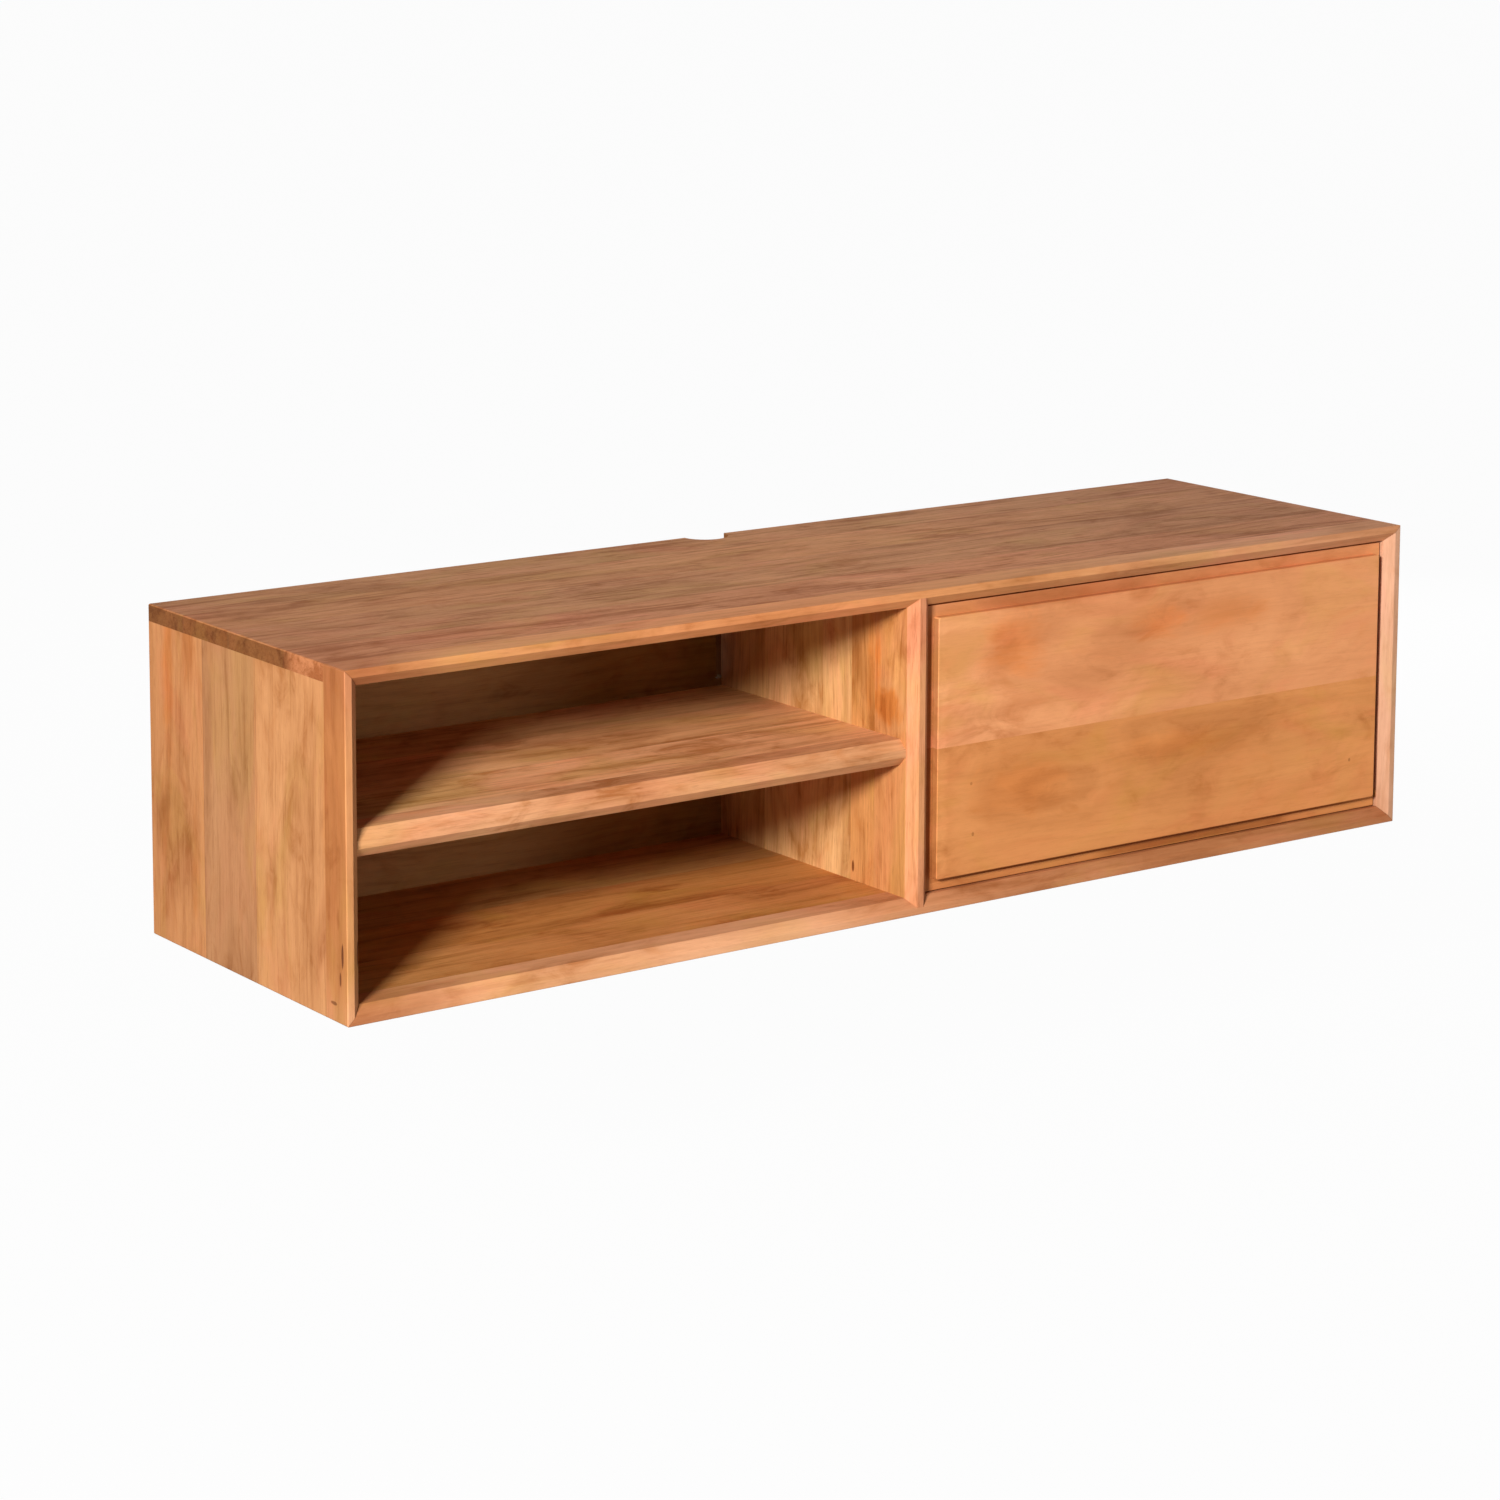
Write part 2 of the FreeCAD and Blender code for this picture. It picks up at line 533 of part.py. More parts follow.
def stay_arm(face_x, into):
    x = face_x + into * arm_low
    slot_start = rivet_place + arm_line * (reach_closed - SLOT_SLACK)
    slot_end = rivet_place + arm_line * reach_open
    travel = X_AXIS * (into * ARM_THICKNESS)
    blade = stadium(x, rivet_place, slot_end + arm_line * (ARM_TAIL - ARM_WIDTH / 2),
                    ARM_WIDTH / 2).extrude(travel)
    slot = stadium(x, slot_start, slot_end, STUD_RADIUS + RUNNING_GAP).extrude(travel)
    eye = disc(face_x, into, rivet_place, arm_low, arm_high, RIVET_RADIUS + RUNNING_GAP)
    return blade.cut([slot, eye])


def stay_bracket(face_x, into):
    """A bent plate: its foot is screwed behind the flap and its ear carries the arm's rivet."""
    def place(reach, depth):
        return V(face_x + into * reach, flap_y1 + depth, rivet_place.z - BRACKET_HEIGHT / 2)

    half = ARM_WIDTH / 2
    ear_reach = rivet_place.y + half - flap_y1
    foot_end = ear_low + BRACKET_LENGTH
    bent = prism(
        [place(ear_low, 0), place(foot_end, 0), place(foot_end, BRACKET_THICKNESS),
         place(ear_high, BRACKET_THICKNESS), place(ear_high, ear_reach), place(ear_low, ear_reach)],
        [BRACKET_BEND + BRACKET_THICKNESS, 0, 0, BRACKET_BEND, 0, 0], Z_AXIS * BRACKET_HEIGHT)
    outline = []
    for side, order in ((-1, (0, 1, 2)), (1, (2, 1, 0))):
        reaches = [(0, BRACKET_HEIGHT / 2), (BRACKET_THICKNESS, BRACKET_HEIGHT / 2), (ear_reach, half)]
        outline += [V(face_x + into * ear_low, flap_y1 + reaches[i][0],
                      rivet_place.z + side * reaches[i][1]) for i in order]
    tapered = prism(outline, [0, 0, half / 2, half / 2, 0, 0], X_AXIS * (into * BRACKET_LENGTH))
    eye = disc(face_x, into, rivet_place, ear_low, ear_high, RIVET_RADIUS)
    return bent.common(tapered).removeSplitter().cut(eye)


def stay_rivet(face_x, into):
    """A shank between two heads, each a low cone."""
    shank = disc(face_x, into, rivet_place, arm_low - SIDE_PLAY, ear_high, RIVET_RADIUS)
    heads = [
        Part.makeCone(RIVET_HEAD_RADIUS, RIVET_CROWN_RADIUS, RIVET_HEAD,
                      V(face_x + into * level, rivet_place.y, rivet_place.z), X_AXIS * way)
        for level, way in ((arm_low - SIDE_PLAY, -into), (ear_high, into))]
    return shank.fuse(heads).removeSplitter()


def stay_stud(face_x, into):
    """A plate on the board with a flange, a smooth shoulder for the slot and a threaded end."""
    ends = Z_AXIS * ((STUD_PLATE_LENGTH - STUD_PLATE_WIDTH) / 2)
    plate = stadium(face_x, stud_place - ends, stud_place + ends, STUD_PLATE_WIDTH / 2).extrude(
        X_AXIS * (into * STUD_PLATE_THICKNESS))
    flange = disc(face_x, into, stud_place, STUD_PLATE_THICKNESS, flange_top, STUD_FLANGE_RADIUS)
    shoulder = disc(face_x, into, stud_place, flange_top, nut_low, STUD_RADIUS)
    thread = disc(face_x, into, stud_place, nut_low, thread_end, STUD_THREAD_RADIUS)
    return plate.fuse([flange, shoulder, thread]).removeSplitter()


def friction_washer(face_x, into):
    ring = disc(face_x, into, stud_place, washer_low, nut_low, WASHER_RADIUS)
    return ring.cut(disc(face_x, into, stud_place, washer_low, nut_low, STUD_RADIUS + RUNNING_GAP))


def stay_nut(face_x, into):
    """A hexagon nut, its outer corners turned away by a cone."""
    half_turn = math.pi / NUT_SIDES
    corner = NUT_ACROSS_FLATS / 2 / math.cos(half_turn)
    points = [V(face_x + into * nut_low, stud_place.y + corner * math.cos(2 * half_turn * i),
                stud_place.z + corner * math.sin(2 * half_turn * i)) for i in range(NUT_SIDES)]
    hexagon = prism(points, [0] * NUT_SIDES, X_AXIS * (into * NUT_HEIGHT))
    turned = Part.makeCone(NUT_ACROSS_FLATS / 2 + 2 * NUT_HEIGHT, NUT_ACROSS_FLATS / 2, NUT_HEIGHT,
                           V(face_x + into * nut_low, stud_place.y, stud_place.z), X_AXIS * into)
    return hexagon.common(turned).cut(
        disc(face_x, into, stud_place, nut_low, nut_low + NUT_HEIGHT, STUD_THREAD_RADIUS))


bracket_screws = []
stud_screws = {}
for side_name, face_x, into in (("left", divider_face, 1), ("right", side_face, -1)):
    parts["stay_arm_" + side_name] = stay_arm(face_x, into)
    parts["stay_rivet_" + side_name] = stay_rivet(face_x, into)
    parts["friction_washer_" + side_name] = friction_washer(face_x, into)
    parts["stay_nut_" + side_name] = stay_nut(face_x, into)

    foot_middle = face_x + into * (ear_high + ear_low + BRACKET_LENGTH) / 2
    screws = [screw(V(foot_middle, flap_y1 + BRACKET_THICKNESS, rivet_place.z + step),
                    Y_AXIS * -1, SMALL_SCREW_LENGTH)
              for step in (-BRACKET_SCREW_PITCH / 2, BRACKET_SCREW_PITCH / 2)]
    parts["stay_bracket_" + side_name] = stay_bracket(face_x, into).cut(screws)
    bracket_screws += screws

    screw_step = (STUD_PLATE_LENGTH - STUD_PLATE_WIDTH) / 2
    stud_screws[side_name] = [
        screw(V(face_x + into * STUD_PLATE_THICKNESS, stud_place.y, stud_place.z + step),
              X_AXIS * -into, SMALL_SCREW_LENGTH)
        for step in (-screw_step, screw_step)]
    parts["stay_stud_" + side_name] = stay_stud(face_x, into).cut(stud_screws[side_name])

parts["stay_bracket_screws"] = group(bracket_screws)
parts["stay_stud_screws"] = group(stud_screws["left"] + stud_screws["right"])
for board, side_name in (("divider_lipping", "left"), ("divider_panel", "left"),
                         ("right_side_panel", "right"), ("right_front_lipping", "right")):
    parts[board] = parts[board].cut(stud_screws[side_name])

# ------------------------------------------------------------------ magnetic catch under the top
catch_x = (flap_x0 + flap_x1) / 2
strike_face = flap_y1 + STRIKE_THICKNESS
catch_y0 = strike_face + CATCH_GAP
catch_y1 = catch_y0 + CATCH_DEPTH
half_block = CATCH_BLOCK_LENGTH / 2
half_magnet = MAGNET_LENGTH / 2
pole_z = MAGNET_HEIGHT / 2 + POLE_THICKNESS
magnet_z = z_ceiling - CATCH_HEIGHT + CATCH_WALL + pole_z

catch_screws = [
    screw(V(catch_x + step, (catch_y0 + catch_y1) / 2, z_ceiling - CATCH_EAR_THICKNESS),
          Z_AXIS, SMALL_SCREW_LENGTH)
    for step in (-CATCH_SCREW_PITCH / 2, CATCH_SCREW_PITCH / 2)]
block = box(catch_x - half_block, catch_x + half_block, catch_y0, catch_y1,
            z_ceiling - CATCH_HEIGHT, z_ceiling)
ears = box(catch_x - CATCH_LENGTH / 2, catch_x + CATCH_LENGTH / 2, catch_y0, catch_y1,
           z_ceiling - CATCH_EAR_THICKNESS, z_ceiling)
pocket = box(catch_x - half_magnet, catch_x + half_magnet, catch_y0, catch_y0 + MAGNET_DEPTH,
             magnet_z - pole_z, magnet_z + pole_z)
parts["catch_housing"] = block.fuse(ears).removeSplitter().cut(
    [pocket] + catch_screws)
parts["catch_magnet"] = box(catch_x - half_magnet, catch_x + half_magnet,
                            catch_y0, catch_y0 + MAGNET_DEPTH,
                            magnet_z - MAGNET_HEIGHT / 2, magnet_z + MAGNET_HEIGHT / 2)
parts["catch_pole_plates"] = group([
    box(catch_x - half_magnet, catch_x + half_magnet, catch_y0, catch_y0 + MAGNET_DEPTH, z0, z1)
    for z0, z1 in ((magnet_z - pole_z, magnet_z - MAGNET_HEIGHT / 2),
                   (magnet_z + MAGNET_HEIGHT / 2, magnet_z + pole_z))])
parts["catch_screws"] = group(catch_screws)
parts["top_front_lipping"] = parts["top_front_lipping"].cut(catch_screws)

strike_screws = [
    screw(V(catch_x + step, strike_face, magnet_z), Y_AXIS * -1, STRIKE_SCREW_LENGTH)
    for step in (-STRIKE_SCREW_PITCH / 2, STRIKE_SCREW_PITCH / 2)]
half_strike = STRIKE_LENGTH / 2
strike_points = [V(catch_x - half_strike, flap_y1, magnet_z - STRIKE_HEIGHT / 2),
                 V(catch_x + half_strike, flap_y1, magnet_z - STRIKE_HEIGHT / 2),
                 V(catch_x + half_strike, flap_y1, magnet_z + STRIKE_HEIGHT / 2),
                 V(catch_x - half_strike, flap_y1, magnet_z + STRIKE_HEIGHT / 2)]
parts["strike_plate"] = prism(
    strike_points, [STRIKE_CORNER] * 4, Y_AXIS * STRIKE_THICKNESS).cut(strike_screws)
parts["strike_screws"] = group(strike_screws)

parts["flap_panel"] = flap_board().cut(pin_holes + bracket_screws + strike_screws)

# ------------------------------------------------------------------ one STEP file for each node
os.makedirs("parts", exist_ok=True)
for node, shape in parts.items():
    shape.exportStep("parts/" + node + ".step")
print(len(parts), "nodes,", sum(len(shape.Solids) for shape in parts.values()), "solids")
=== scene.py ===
"""Dresses the floating media console: oiled hardwood boards, plated steel and brass fittings,
cross-recessed screws, a pale floor, soft studio lamps and a camera."""

import functools
import json
import math

import bpy
import numpy as np
from mathutils import Matrix, Vector


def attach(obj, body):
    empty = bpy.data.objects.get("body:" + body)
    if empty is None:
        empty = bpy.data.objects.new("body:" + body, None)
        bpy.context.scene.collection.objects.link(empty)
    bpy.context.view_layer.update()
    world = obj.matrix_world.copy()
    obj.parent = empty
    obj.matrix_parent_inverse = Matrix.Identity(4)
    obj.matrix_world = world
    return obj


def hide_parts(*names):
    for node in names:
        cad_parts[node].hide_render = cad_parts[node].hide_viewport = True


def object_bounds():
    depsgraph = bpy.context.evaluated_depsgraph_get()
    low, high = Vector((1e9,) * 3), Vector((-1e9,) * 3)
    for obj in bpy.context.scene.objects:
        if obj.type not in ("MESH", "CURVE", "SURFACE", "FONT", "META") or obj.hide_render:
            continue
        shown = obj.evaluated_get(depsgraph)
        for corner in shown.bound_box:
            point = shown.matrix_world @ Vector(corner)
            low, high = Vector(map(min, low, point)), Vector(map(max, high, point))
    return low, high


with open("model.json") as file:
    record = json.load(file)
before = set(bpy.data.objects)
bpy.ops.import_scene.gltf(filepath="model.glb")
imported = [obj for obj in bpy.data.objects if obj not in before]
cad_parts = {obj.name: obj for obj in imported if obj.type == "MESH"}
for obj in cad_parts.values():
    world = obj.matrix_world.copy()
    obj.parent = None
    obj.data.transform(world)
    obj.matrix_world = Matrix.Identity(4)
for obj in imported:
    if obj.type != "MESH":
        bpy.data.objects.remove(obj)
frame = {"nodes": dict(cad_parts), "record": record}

bl_info = {
    "name": "Floating Media Console",
    "version": (1, 0, 0),
    "blender": (4, 5, 0),
    "location": "View3D > Sidebar > Console",
    "description": "Finishes the boards and fittings of a wall-hung media console",
    "category": "Object",
}

CAD_LOW, CAD_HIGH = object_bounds()
RECORD = frame["record"]
SLOTS = {part["node"]: part["material_slot"] for part in RECORD["subparts"]}
BODY_OF = {node: body for body, nodes in RECORD["behaviour"]["bodies"].items() for node in nodes}
MM = 0.001


# ---------------------------------------------------------------- shader maths
class Term:
    """A number socket in a sum: Python's operators on it add Math nodes."""

    def __init__(self, finish, socket):
        self.finish, self.socket = finish, socket

    def math(self, operation, *values):
        return self.finish.add("ShaderNodeMath", {"operation": operation}, dict(enumerate(values)))

    def __add__(self, other):
        return self.math("ADD", self, other)

    def __sub__(self, other):
        return self.math("SUBTRACT", self, other)

    def __rsub__(self, other):
        return self.math("SUBTRACT", other, self)

    def __mul__(self, other):
        return self.math("MULTIPLY", self, other)

    def __truediv__(self, other):
        return self.math("DIVIDE", self, other)

    def __pow__(self, other):
        return self.math("POWER", self, other)

    def __abs__(self):
        return self.math("ABSOLUTE", self)

    __radd__, __rmul__ = __add__, __mul__

    def larger(self, other):
        return self.math("MAXIMUM", self, other)

    def sine(self):
        return self.math("SINE", self)

    def ramp(self, low, high):
        """0 at low and 1 at high, with a smooth step between; low may be the larger."""
        values = {0: self, 1: min(low, high), 2: max(low, high),
                  3: 0.0 if low < high else 1.0, 4: 1.0 if low < high else 0.0}
        return self.finish.add("ShaderNodeMapRange", {"interpolation_type": "SMOOTHSTEP"}, values)


class Finish:
    """A node material, or a world, in the making."""

    def __init__(self, name, home="materials"):
        self.owner = getattr(bpy.data, home).new(name)
        self.owner.use_nodes = True
        self.tree = self.owner.node_tree
        self.tree.nodes.clear()

    def add(self, kind, settings=None, values=None, output=0):
        """Adds a node: its settings first, then the values or links of its sockets."""
        node = self.tree.nodes.new(kind)
        for key, setting in (settings or {}).items():
            if key == "stops":
                ramp = node.color_ramp
                while len(ramp.elements) < len(setting):
                    ramp.elements.new(1.0)
                for element, (position, colour) in zip(ramp.elements, setting):
                    element.position, element.color = position, colour
            elif key == "interpolation":
                node.color_ramp.interpolation = setting
            else:
                setattr(node, key, setting)
        for key, value in (values or {}).items():
            socket = node.inputs[key]
            if isinstance(value, Term):
                self.tree.links.new(value.socket, socket)
            else:
                socket.default_value = value
        return Term(self, node.outputs[output])

    def mix(self, factor, first, second, blend="MIX"):
        """Two colours mixed or multiplied."""
        return self.add("ShaderNodeMix", {"data_type": "RGBA", "blend_type": blend,
                                          "clamp_factor": True},
                        {0: factor, 6: first, 7: second}, output=2)

    def place(self):
        """Object coordinates, as a vector and as three numbers."""
        here = self.add("ShaderNodeTexCoord", output=3)
        return here, self.split(here)

    def split(self, vector):
        """The three numbers of a vector."""
        node = self.add("ShaderNodeSeparateXYZ", None, {0: vector}).socket.node
        return [Term(self, node.outputs[i]) for i in range(3)]

    def join(self, x, y, z):
        return self.add("ShaderNodeCombineXYZ", None, {0: x, 1: y, 2: z})

    def noise(self, vector, scale, detail=2.0, roughness=0.5, distortion=0.0, output=0):
        """Noise on a vector that is first multiplied by a scale for each axis."""
        scaled = self.add("ShaderNodeVectorMath", {"operation": "MULTIPLY"}, {0: vector, 1: scale})
        return self.add("ShaderNodeTexNoise", None,
                        {"Vector": scaled, "Scale": 1.0, "Detail": detail,
                         "Roughness": roughness, "Distortion": distortion}, output=output)

    def surface(self, colour, roughness, metallic=0.0, height=None, depth=0.0, **constants):
        """The shader; height is a bump pattern from 0 to 1 and depth its relief in metres."""
        values = {"Base Color": colour, "Roughness": roughness, "Metallic": metallic}
        values.update({key.replace("_", " "): value for key, value in constants.items()})
        if height is not None:
            values["Normal"] = self.add("ShaderNodeBump", None,
                                        {"Strength": 1.0, "Distance": depth, "Height": height})
        self.add_output(self.add("ShaderNodeBsdfPrincipled", None, values))
        return self.owner

    def add_output(self, shader, kind="Material"):
        end = self.tree.nodes.new("ShaderNodeOutput" + kind)
        self.tree.links.new(shader.socket, end.inputs["Surface"])


# ---------------------------------------------------------------- wood
# What each kind of figure multiplies a board's colour by; PAINTED_SHADOW instead is the colour of
# painted shadow.
OLIVE, ROSY = (0.93, 1.02, 0.80), (1.04, 0.93, 0.98)
PALE, AMBER, DARK = (1.22, 1.34, 1.46), (1.00, 0.78, 0.50), (0.60, 0.49, 0.37)
PAINTED_SHADOW, KNOT, PORE = (0.40, 0.26, 0.12), (0.24, 0.13, 0.07), (0.48, 0.38, 0.30)
# PAINTED_SHADE_BEHIND is painted shade, for wood set far back.
GLUE_LINE, PAINTED_SHADE_BEHIND = (0.34, 0.22, 0.14), (0.40, 0.26, 0.16)

# How often each sort of noise varies along, across and through the grain, over one metre.
DRIFT, STREAK, FLECK = (2.4, 8.0, 8.0), (1.9, 42.0, 42.0), (8.0, 180.0, 180.0)
CLOUD, WAVE = (5.5, 12.0, 12.0), (17.0, 34.0, 34.0)
FIBRE, PORES = (22.0, 800.0, 800.0), (60.0, 1300.0, 1300.0)
BEND = (0.03, 0.05, 0.05)                       # how far the figure wanders, in metres

OUTSIDE = -0.5                                  # where a first board starts: beyond any edge
LAST_BOARD = 0.5                                # width given to the last board of a row
SEAM, MITRE = (0.0006, 0.0002), (0.0009, 0.0002)    # half widths of a glue line: faint, full
GRAIN_RELIEF = 0.0001


def toned(colour, red=1.0, green=1.0, blue=1.0):
    """A wood colour with each channel scaled."""
    return (colour[0] * red, colour[1] * green, colour[2] * blue)


def board_tint(finish, across, boards, seed):
    """The colour of the board at a place, and that board's own shift in the noise."""
    low, high = boards[0][0], boards[-1][0] + LAST_BOARD
    stops = [((start - low) / (high - low), (*colour, (0.37 * (index + 1) * (seed + 1)) % 1.0))
             for index, (start, colour) in enumerate(boards)]
    if len(stops) == 1:
        stops.append((1.0, stops[0][1]))
    tint = finish.add("ShaderNodeValToRGB", {"stops": stops, "interpolation": "CONSTANT"},
                      {0: (across - low) / (high - low)})
    return tint, Term(finish, tint.socket.node.outputs["Alpha"])


def tone_and_light_along_grain(finish, tint, along, fades):
    """A tint shaded along the grain: partly the wood's own tone, partly painted light and shade."""
    low, high = fades[0][0], fades[-1][0]
    stops = [((at - low) / (high - low), (*shade, 1.0)) for at, shade in fades]
    shade = finish.add("ShaderNodeValToRGB", {"stops": stops, "interpolation": "EASE"},
                       {0: (along - low) / (high - low)})
    return finish.mix(1.0, tint, shade, "MULTIPLY")


def mark_masks(marks, along, across, wave, olive, fleck):
    """The masks of the marks, gathered by what they do to the colour.

    A stain is a crisp box of painted shadow and a knot an ellipse with a rough rim.  The others are
    ellipses that the figure's own noise eats into, and a swirl turns dark and pale along its
    radius.
    """
    masks = {"dark": [], "amber": [], "pale": [], "painted_shadow": [], "knot": []}
    for kind, at, over, half_long, half_wide, force in marks:
        u = (along - at) / half_long
        v = (across - over) / half_wide
        if kind == "painted_shadow":
            masks[kind].append(abs(u).larger(abs(v)).ramp(1.15, 0.75) * force)
            continue
        if kind == "knot":
            rim = u * u + v * v + (fleck - 0.5) * 1.6
            masks[kind].append(rim.ramp(1.0, 0.4) * force)
            continue
        reach = u * u + v * v + (wave - 0.5) * 4.0 + (olive - 0.5) * 3.0 + (fleck - 0.5) * 0.5
        mask = reach.ramp(1.5, -0.7) * force
        if kind == "swirl":
            turn = ((u * u + v * v) ** 0.5 * 11.0 + wave * 7.0).sine() * 0.5 + 0.5
            masks["dark"].append(turn * mask)
            masks["pale"].append((1.0 - turn) * mask * 0.4)
        else:
            masks[kind].append(mask)
    return masks


def strongest(terms):
    """The largest of some terms, or None where there are none."""
    return functools.reduce(Term.larger, terms) if terms else None


def glue_lines(xyz, across, seams, mitred):
    """1 on the thin glue lines: the seams between boards, or the mitres at the corners."""
    if mitred:
        (x, _, z), middle = xyz, (CAD_LOW + CAD_HIGH) / 2
        inward = (CAD_HIGH.x - CAD_LOW.x) / 2 - abs(x - middle.x)
        upward = (CAD_HIGH.z - CAD_LOW.z) / 2 - abs(z - middle.z)
        return abs(inward - upward).ramp(*MITRE)
    return strongest([abs(across - seam).ramp(*SEAM) for seam in seams])


def wood(name, axes, boards, seed, look, marks=(), fades=(), seamed=False, mitred=False,
         end_span=None, end_shade=(0.64, 0.56, 0.50), outer_shade=None, painted_shade_from=None,
         ring_spacing=0.011, pith=(0.03, -0.05), rings=1.0, streaks=1.0, clouds=1.0, flecks=1.0):
    """Oiled hardwood; seed picks another part of the noise.

    axes names the directions along the grain, across the board and through it.  boards lists
    (where a board starts across the grain, its colour), and fades (a place along the grain, the
    shade there), which is partly the wood's own tone and partly painted light, shade and highlight.
    seamed draws the glue lines between boards, and mitred those of the corners.
    marks lists bits of figure: (kind, along, across, half length, half width, strength), kind
    being dark, amber, pale, swirl, stain or knot; a stain mark is a crisp box of painted shadow,
    and a few dark and pale marks paint shade and highlight too.  pith is where, across and through,
    the growth rings have their middle, and ring_spacing lies between two rings.  rings, streaks,
    clouds and flecks scale the four sorts of figure.  end_shade colours the end grain, and end_span
    gives where, across the grain, it turns from light to dark.  outer_shade is painted shade on the
    faces that look down the third axis, and painted_shade_from is how far back, in Y, the wood is
    painted dark with shade and turns dull.
    """
    finish = Finish(name)
    _, xyz = finish.place()
    along, across, through = (xyz["xyz".index(axis)] for axis in axes)

    tint, offset = board_tint(finish, across, boards, seed)
    if fades:
        tint = tone_and_light_along_grain(finish, tint, along, fades)

    place = finish.join(along + offset * 9.0 + seed, across + offset * 3.0, through + offset)
    drift = finish.noise(place, DRIFT, detail=2.0, output=1)
    centred = finish.add("ShaderNodeVectorMath", {"operation": "SUBTRACT"},
                         {0: drift, 1: (0.5,) * 3})
    bent = finish.add("ShaderNodeVectorMath", {"operation": "MULTIPLY_ADD"},
                      {0: centred, 1: BEND, 2: place})

    streak = finish.noise(bent, STREAK, detail=5.0, roughness=0.6)
    fleck = finish.noise(bent, FLECK, detail=3.0, roughness=0.6)
    fibre = finish.noise(place, FIBRE, detail=2.0)
    pore = finish.noise(place, PORES, detail=1.0).ramp(0.60, 0.72)
    olive, rosy, cloud = finish.split(finish.noise(
        bent, CLOUD, detail=4.0, roughness=0.55, distortion=0.8, output=1))
    wave = finish.noise(bent, WAVE, detail=5.0, roughness=0.62, distortion=0.8)

    bent_across, bent_through = finish.split(bent)[1:]
    side = bent_across - offset * 3.0 - pith[0] + along * 0.05
    deep = bent_through - offset - pith[1]
    radius = (side * side + deep * deep) ** 0.5
    ring = (radius * (2 * math.pi / ring_spacing) + wave * 5.0 + cloud * 3.0).sine() * 0.5 + 0.5
    ring = ring * ring * ring

    masks = mark_masks(marks, along, across, wave, olive, fleck)
    dark = (ring * (0.16 * rings) + streak.ramp(0.48, 0.78) * (0.70 * streaks)
            + cloud.ramp(0.46, 0.78) * (0.80 * clouds) + fleck.ramp(0.50, 0.72) * (0.45 * flecks)
            + cloud.ramp(0.36, 0.66) * wave.ramp(0.44, 0.74) * (0.80 * clouds))
    dark = sum(masks["dark"], dark)
    amber = sum(masks["amber"], wave.ramp(0.50, 0.80) * (0.40 * clouds))
    pale = sum(masks["pale"], cloud.ramp(0.50, 0.26) * (0.60 * clouds)
               + streak.ramp(0.46, 0.26) * (0.40 * streaks))
    grain = fibre.ramp(0.42, 0.70) * (0.16 * flecks) + pore * (0.26 * flecks)

    normal = finish.split(finish.add("ShaderNodeTexCoord", output=1))
    end_grain = abs(normal["xyz".index(axes[0])]).ramp(0.80, 0.95)
    if end_span is not None:
        end_grain = end_grain * across.ramp(*end_span)
    # painted shade on the faces that look down the third axis
    outer = normal["xyz".index(axes[2])].ramp(-0.80, -0.95) if outer_shade else None
    # painted shade, dark and dull, on the wood farther back in Y than the given depth
    sunk = xyz[1].ramp(painted_shade_from, painted_shade_from + 0.002) if painted_shade_from is not None else None
    seams = [start for start, _ in boards[1:]] if seamed else []
    line = glue_lines(xyz, across, seams, mitred)

    strength = look.figure
    colour = tint
    # Of these, the stain boxes, the faces down the third axis and the wood set far back are painted
    # shade.
    for factor, shade in ((olive.ramp(0.48, 0.70) * strength * 0.8, OLIVE),
                          (rosy.ramp(0.48, 0.70) * strength * 0.8, ROSY),
                          (pale * strength * 0.6, PALE), (amber * strength, AMBER),
                          (dark * strength * 0.8, DARK), (strongest(masks["painted_shadow"]), PAINTED_SHADOW),
                          (strongest(masks["knot"]), KNOT), (grain, PORE), (end_grain, end_shade),
                          (outer, outer_shade), (sunk, PAINTED_SHADE_BEHIND), (line and line * 0.45, GLUE_LINE)):
        if factor is not None:
            colour = finish.mix(factor, colour, (*shade, 1.0), "MULTIPLY")

    roughness = look.roughness + (fibre - 0.5) * 0.14 + pore * 0.10 + dark * 0.04
    if sunk is not None:
        roughness = roughness + sunk * 0.4
    height = 1.0 - pore * 0.8 - fibre * 0.3
    if line is not None:
        height = height - line
    return finish.surface(colour, roughness, height=height, depth=GRAIN_RELIEF,
                          Specular_IOR_Level=0.12)


# ---------------------------------------------------------------- metal and plastic
FERRITE = (0.10, 0.10, 0.11)
SCRATCH_RELIEF, MOULD_RELIEF = 0.00002, 0.00003


def dimmed(colour, share):
    """A colour for a socket, at some share of its brightness."""
    return (*(channel * share for channel in colour), 1.0)


def plated(name, colour, roughness, axis_scale, seed):
    """Rolled or turned metal: fine scratches along one direction and a soft uneven lustre."""
    finish = Finish(name)
    here, _ = finish.place()
    scratch = finish.noise(here, axis_scale, detail=3.0)
    bloom = finish.noise(here, (60.0 + seed, 60.0, 60.0), detail=3.0)
    shade = finish.mix((scratch - 0.5).ramp(-0.1, 0.25) * 0.35 + bloom.ramp(0.45, 0.75) * 0.25,
                       dimmed(colour, 1.0), dimmed(colour, 0.72))
    return finish.surface(shade, roughness + (scratch - 0.5) * 0.22 + (bloom - 0.5) * 0.14,
                          metallic=1.0, height=scratch, depth=SCRATCH_RELIEF)


def moulded(name, colour, roughness):
    """Moulded plastic with a fine spark-eroded grain."""
    finish = Finish(name)
    here, _ = finish.place()
    grain = finish.noise(here, (2600.0,) * 3, detail=2.0)
    bloom = finish.noise(here, (90.0,) * 3, detail=2.0)
    shade = finish.mix(bloom.ramp(0.35, 0.75) * 0.4, dimmed(colour, 1.0), dimmed(colour, 0.8))
    return finish.surface(shade, roughness + (grain - 0.5) * 0.12, height=grain,
                          depth=MOULD_RELIEF)


